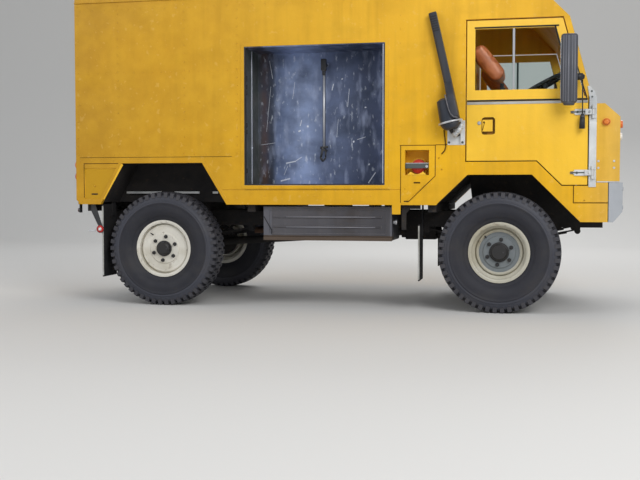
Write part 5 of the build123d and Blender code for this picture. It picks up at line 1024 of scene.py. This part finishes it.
make_piece("dampers", dampers, dirt)
# Pale strips show in the rear arch over the tyre: start and end in X
build_piece("arch_strips", galvanised, "galvanised", sides=SIDES, blocks=[
    ((start, 0.628, 0.866), (end, 0.634, 0.883), 0.001)
    for start, end in ((-1.727, -1.429), (-1.319, -1.11), (-1.001, -0.955))])
build_piece("arch_latch", steel, "galvanised",
            [((-0.692, -0.945, 0.832), (-0.664, -0.925, 0.852), 0.004)]
            + [((-1.928, side * 0.905, 0.57), (-1.873, side * 0.913, 0.582), 0.002) for side in SIDES])


# The mudflaps are black rubber sheets, bolted to their arms, with a pale scuffed strip down the outer edge.
coat_nodes(trim_dark, "mudflaps")
build_piece("mudflap_edges", pale, "rubber", sides=SIDES, blocks=[
    ((x - 0.0055, 0.888, low), (x + 0.0055, 0.8945, high), 0.001)
    for x, low, high in ((0.6615, 0.235, 0.63), (-1.8175, 0.225, 0.77))])


# Inside the cab: chestnut leather seats, a black wheel with bright spokes, and a plain black dashboard.
leather = make_finish("chestnut leather", (0.62, 0.17, 0.06),
                      (("Cloud", (0.78, 0.25, 0.1), 0.6), ("Mottle", (0.36, 0.09, 0.032), 0.6)),
                      roughness=0.42, bumps=(("Grain", 0.0006), ("Mottle", 0.001)), rounded=False, coat=0.2)
coat_nodes(black, "dashboard", "engine_cover", "steering_wheel")
# The furthest that the stuffing pushes out, a sewn seam's reach to each side as a share of a channel, and its
# depth as a share of the pad
SWELL = 0.012
SEAM_WIDTH = 0.22
SEAM_DEPTH = 0.1


def make_pad(name, size, turn, place, channels):
    """A stuffed seat pad: a rounded block blown up by cloth pressure, with sewn channels pressed in after."""
    pad = bmesh.new()
    add_block(pad, [-s / 2 + 0.014 for s in size], [s / 2 - 0.014 for s in size], 0.03, 3)
    mesh = bpy.data.meshes.new(name)
    pad.to_mesh(mesh)
    pad.free()
    piece = bpy.data.objects.new(name, mesh)
    scene.collection.objects.link(piece)
    bpy.context.view_layer.objects.active = piece
    remesh = piece.modifiers.new("remesh", "REMESH")
    remesh.mode = "VOXEL"
    remesh.voxel_size = 0.012
    bpy.ops.object.select_all(action="DESELECT")
    piece.select_set(True)
    bpy.ops.object.modifier_apply(modifier="remesh")
    start = [v.co.copy() for v in piece.data.vertices]
    cloth = piece.modifiers.new("cloth", "CLOTH")
    cloth.settings.use_pressure = True
    cloth.settings.uniform_pressure_force = 4
    cloth.settings.effector_weights.gravity = 0
    cloth.settings.quality = 4
    for number in range(1, 16):
        scene.frame_set(number)
    bpy.ops.object.modifier_apply(modifier="cloth")
    scene.frame_set(1)
    for vert, before in zip(piece.data.vertices, start):
        moved = vert.co - before
        if moved.length > SWELL:
            vert.co = before + moved.normalized() * SWELL
    half = size[1] / 2
    for vert in piece.data.vertices:
        across_pad = (vert.co.y + half) / size[1] * channels
        near_seam = abs(across_pad - round(across_pad))
        if near_seam < SEAM_WIDTH and 0.5 < across_pad < channels - 0.5:
            vert.co.x *= 1 - SEAM_DEPTH * (1 - near_seam / SEAM_WIDTH)
    smooth = piece.modifiers.new("smooth", "SUBSURF")
    smooth.levels = 1
    smooth.render_levels = 1
    bpy.ops.object.modifier_apply(modifier="smooth")
    for face in piece.data.polygons:
        face.use_smooth = True
    piece.data.transform(Matrix.Translation(place) @ turn)
    piece.data.materials.append(leather)
    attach(piece, "chassis")
    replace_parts(piece, "seats")


back_turn = turn_about_y(-38)
flat_turn = turn_about_y(90)
for side, name in ((-1, "right"), (1, "left")):
    y = side * SEAT_Y
    back_middle = Vector((1.2515, y, 1.681)) + back_turn @ Vector((0, 0, 0.165))
    make_pad(f"seat_back_{name}", (0.117, 0.433, 0.33), back_turn, back_middle, 4)
    make_pad(f"seat_cushion_{name}", (0.12, 0.433, 0.445), flat_turn, Vector((1.265, y, 1.41)), 4)
    tubes = [((1.2475, tube_y, 1.4), (1.2475, tube_y, 1.66), 0.014, 16)
             for tube_y in (y - 0.1565, y + 0.1565)]
    tubes.append(((1.2475, y - 0.1565, 1.6), (1.2475, y + 0.1565, 1.6), 0.01, 12))
    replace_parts(build_piece(f"seat_frame_{name}", black, "leather",
                            [((1.0575, y - 0.19, 1.0955), (1.4475, y + 0.19, 1.348), 0.008)], tubes), "seats")
spokes = bmesh.new()
for number in range(3):
    angle = number * math.tau / 3 + 0.4
    way = Vector((math.cos(angle), math.sin(angle), 0))
    add_rod(spokes, way * 0.03 + Vector((0, 0, 0.006)), way * 0.196 + Vector((0, 0, 0.006)), 0.0115, 12)
add_rod(spokes, (0, 0, 0.008), (0, 0, 0.022), 0.034, 24, 0.026)
bmesh.ops.transform(spokes, verts=spokes.verts,
                    matrix=Matrix.Translation((1.5275, -SEAT_Y, 1.65)) @ turn_about_y(-28))
make_piece("wheel_spokes", spokes, steel)
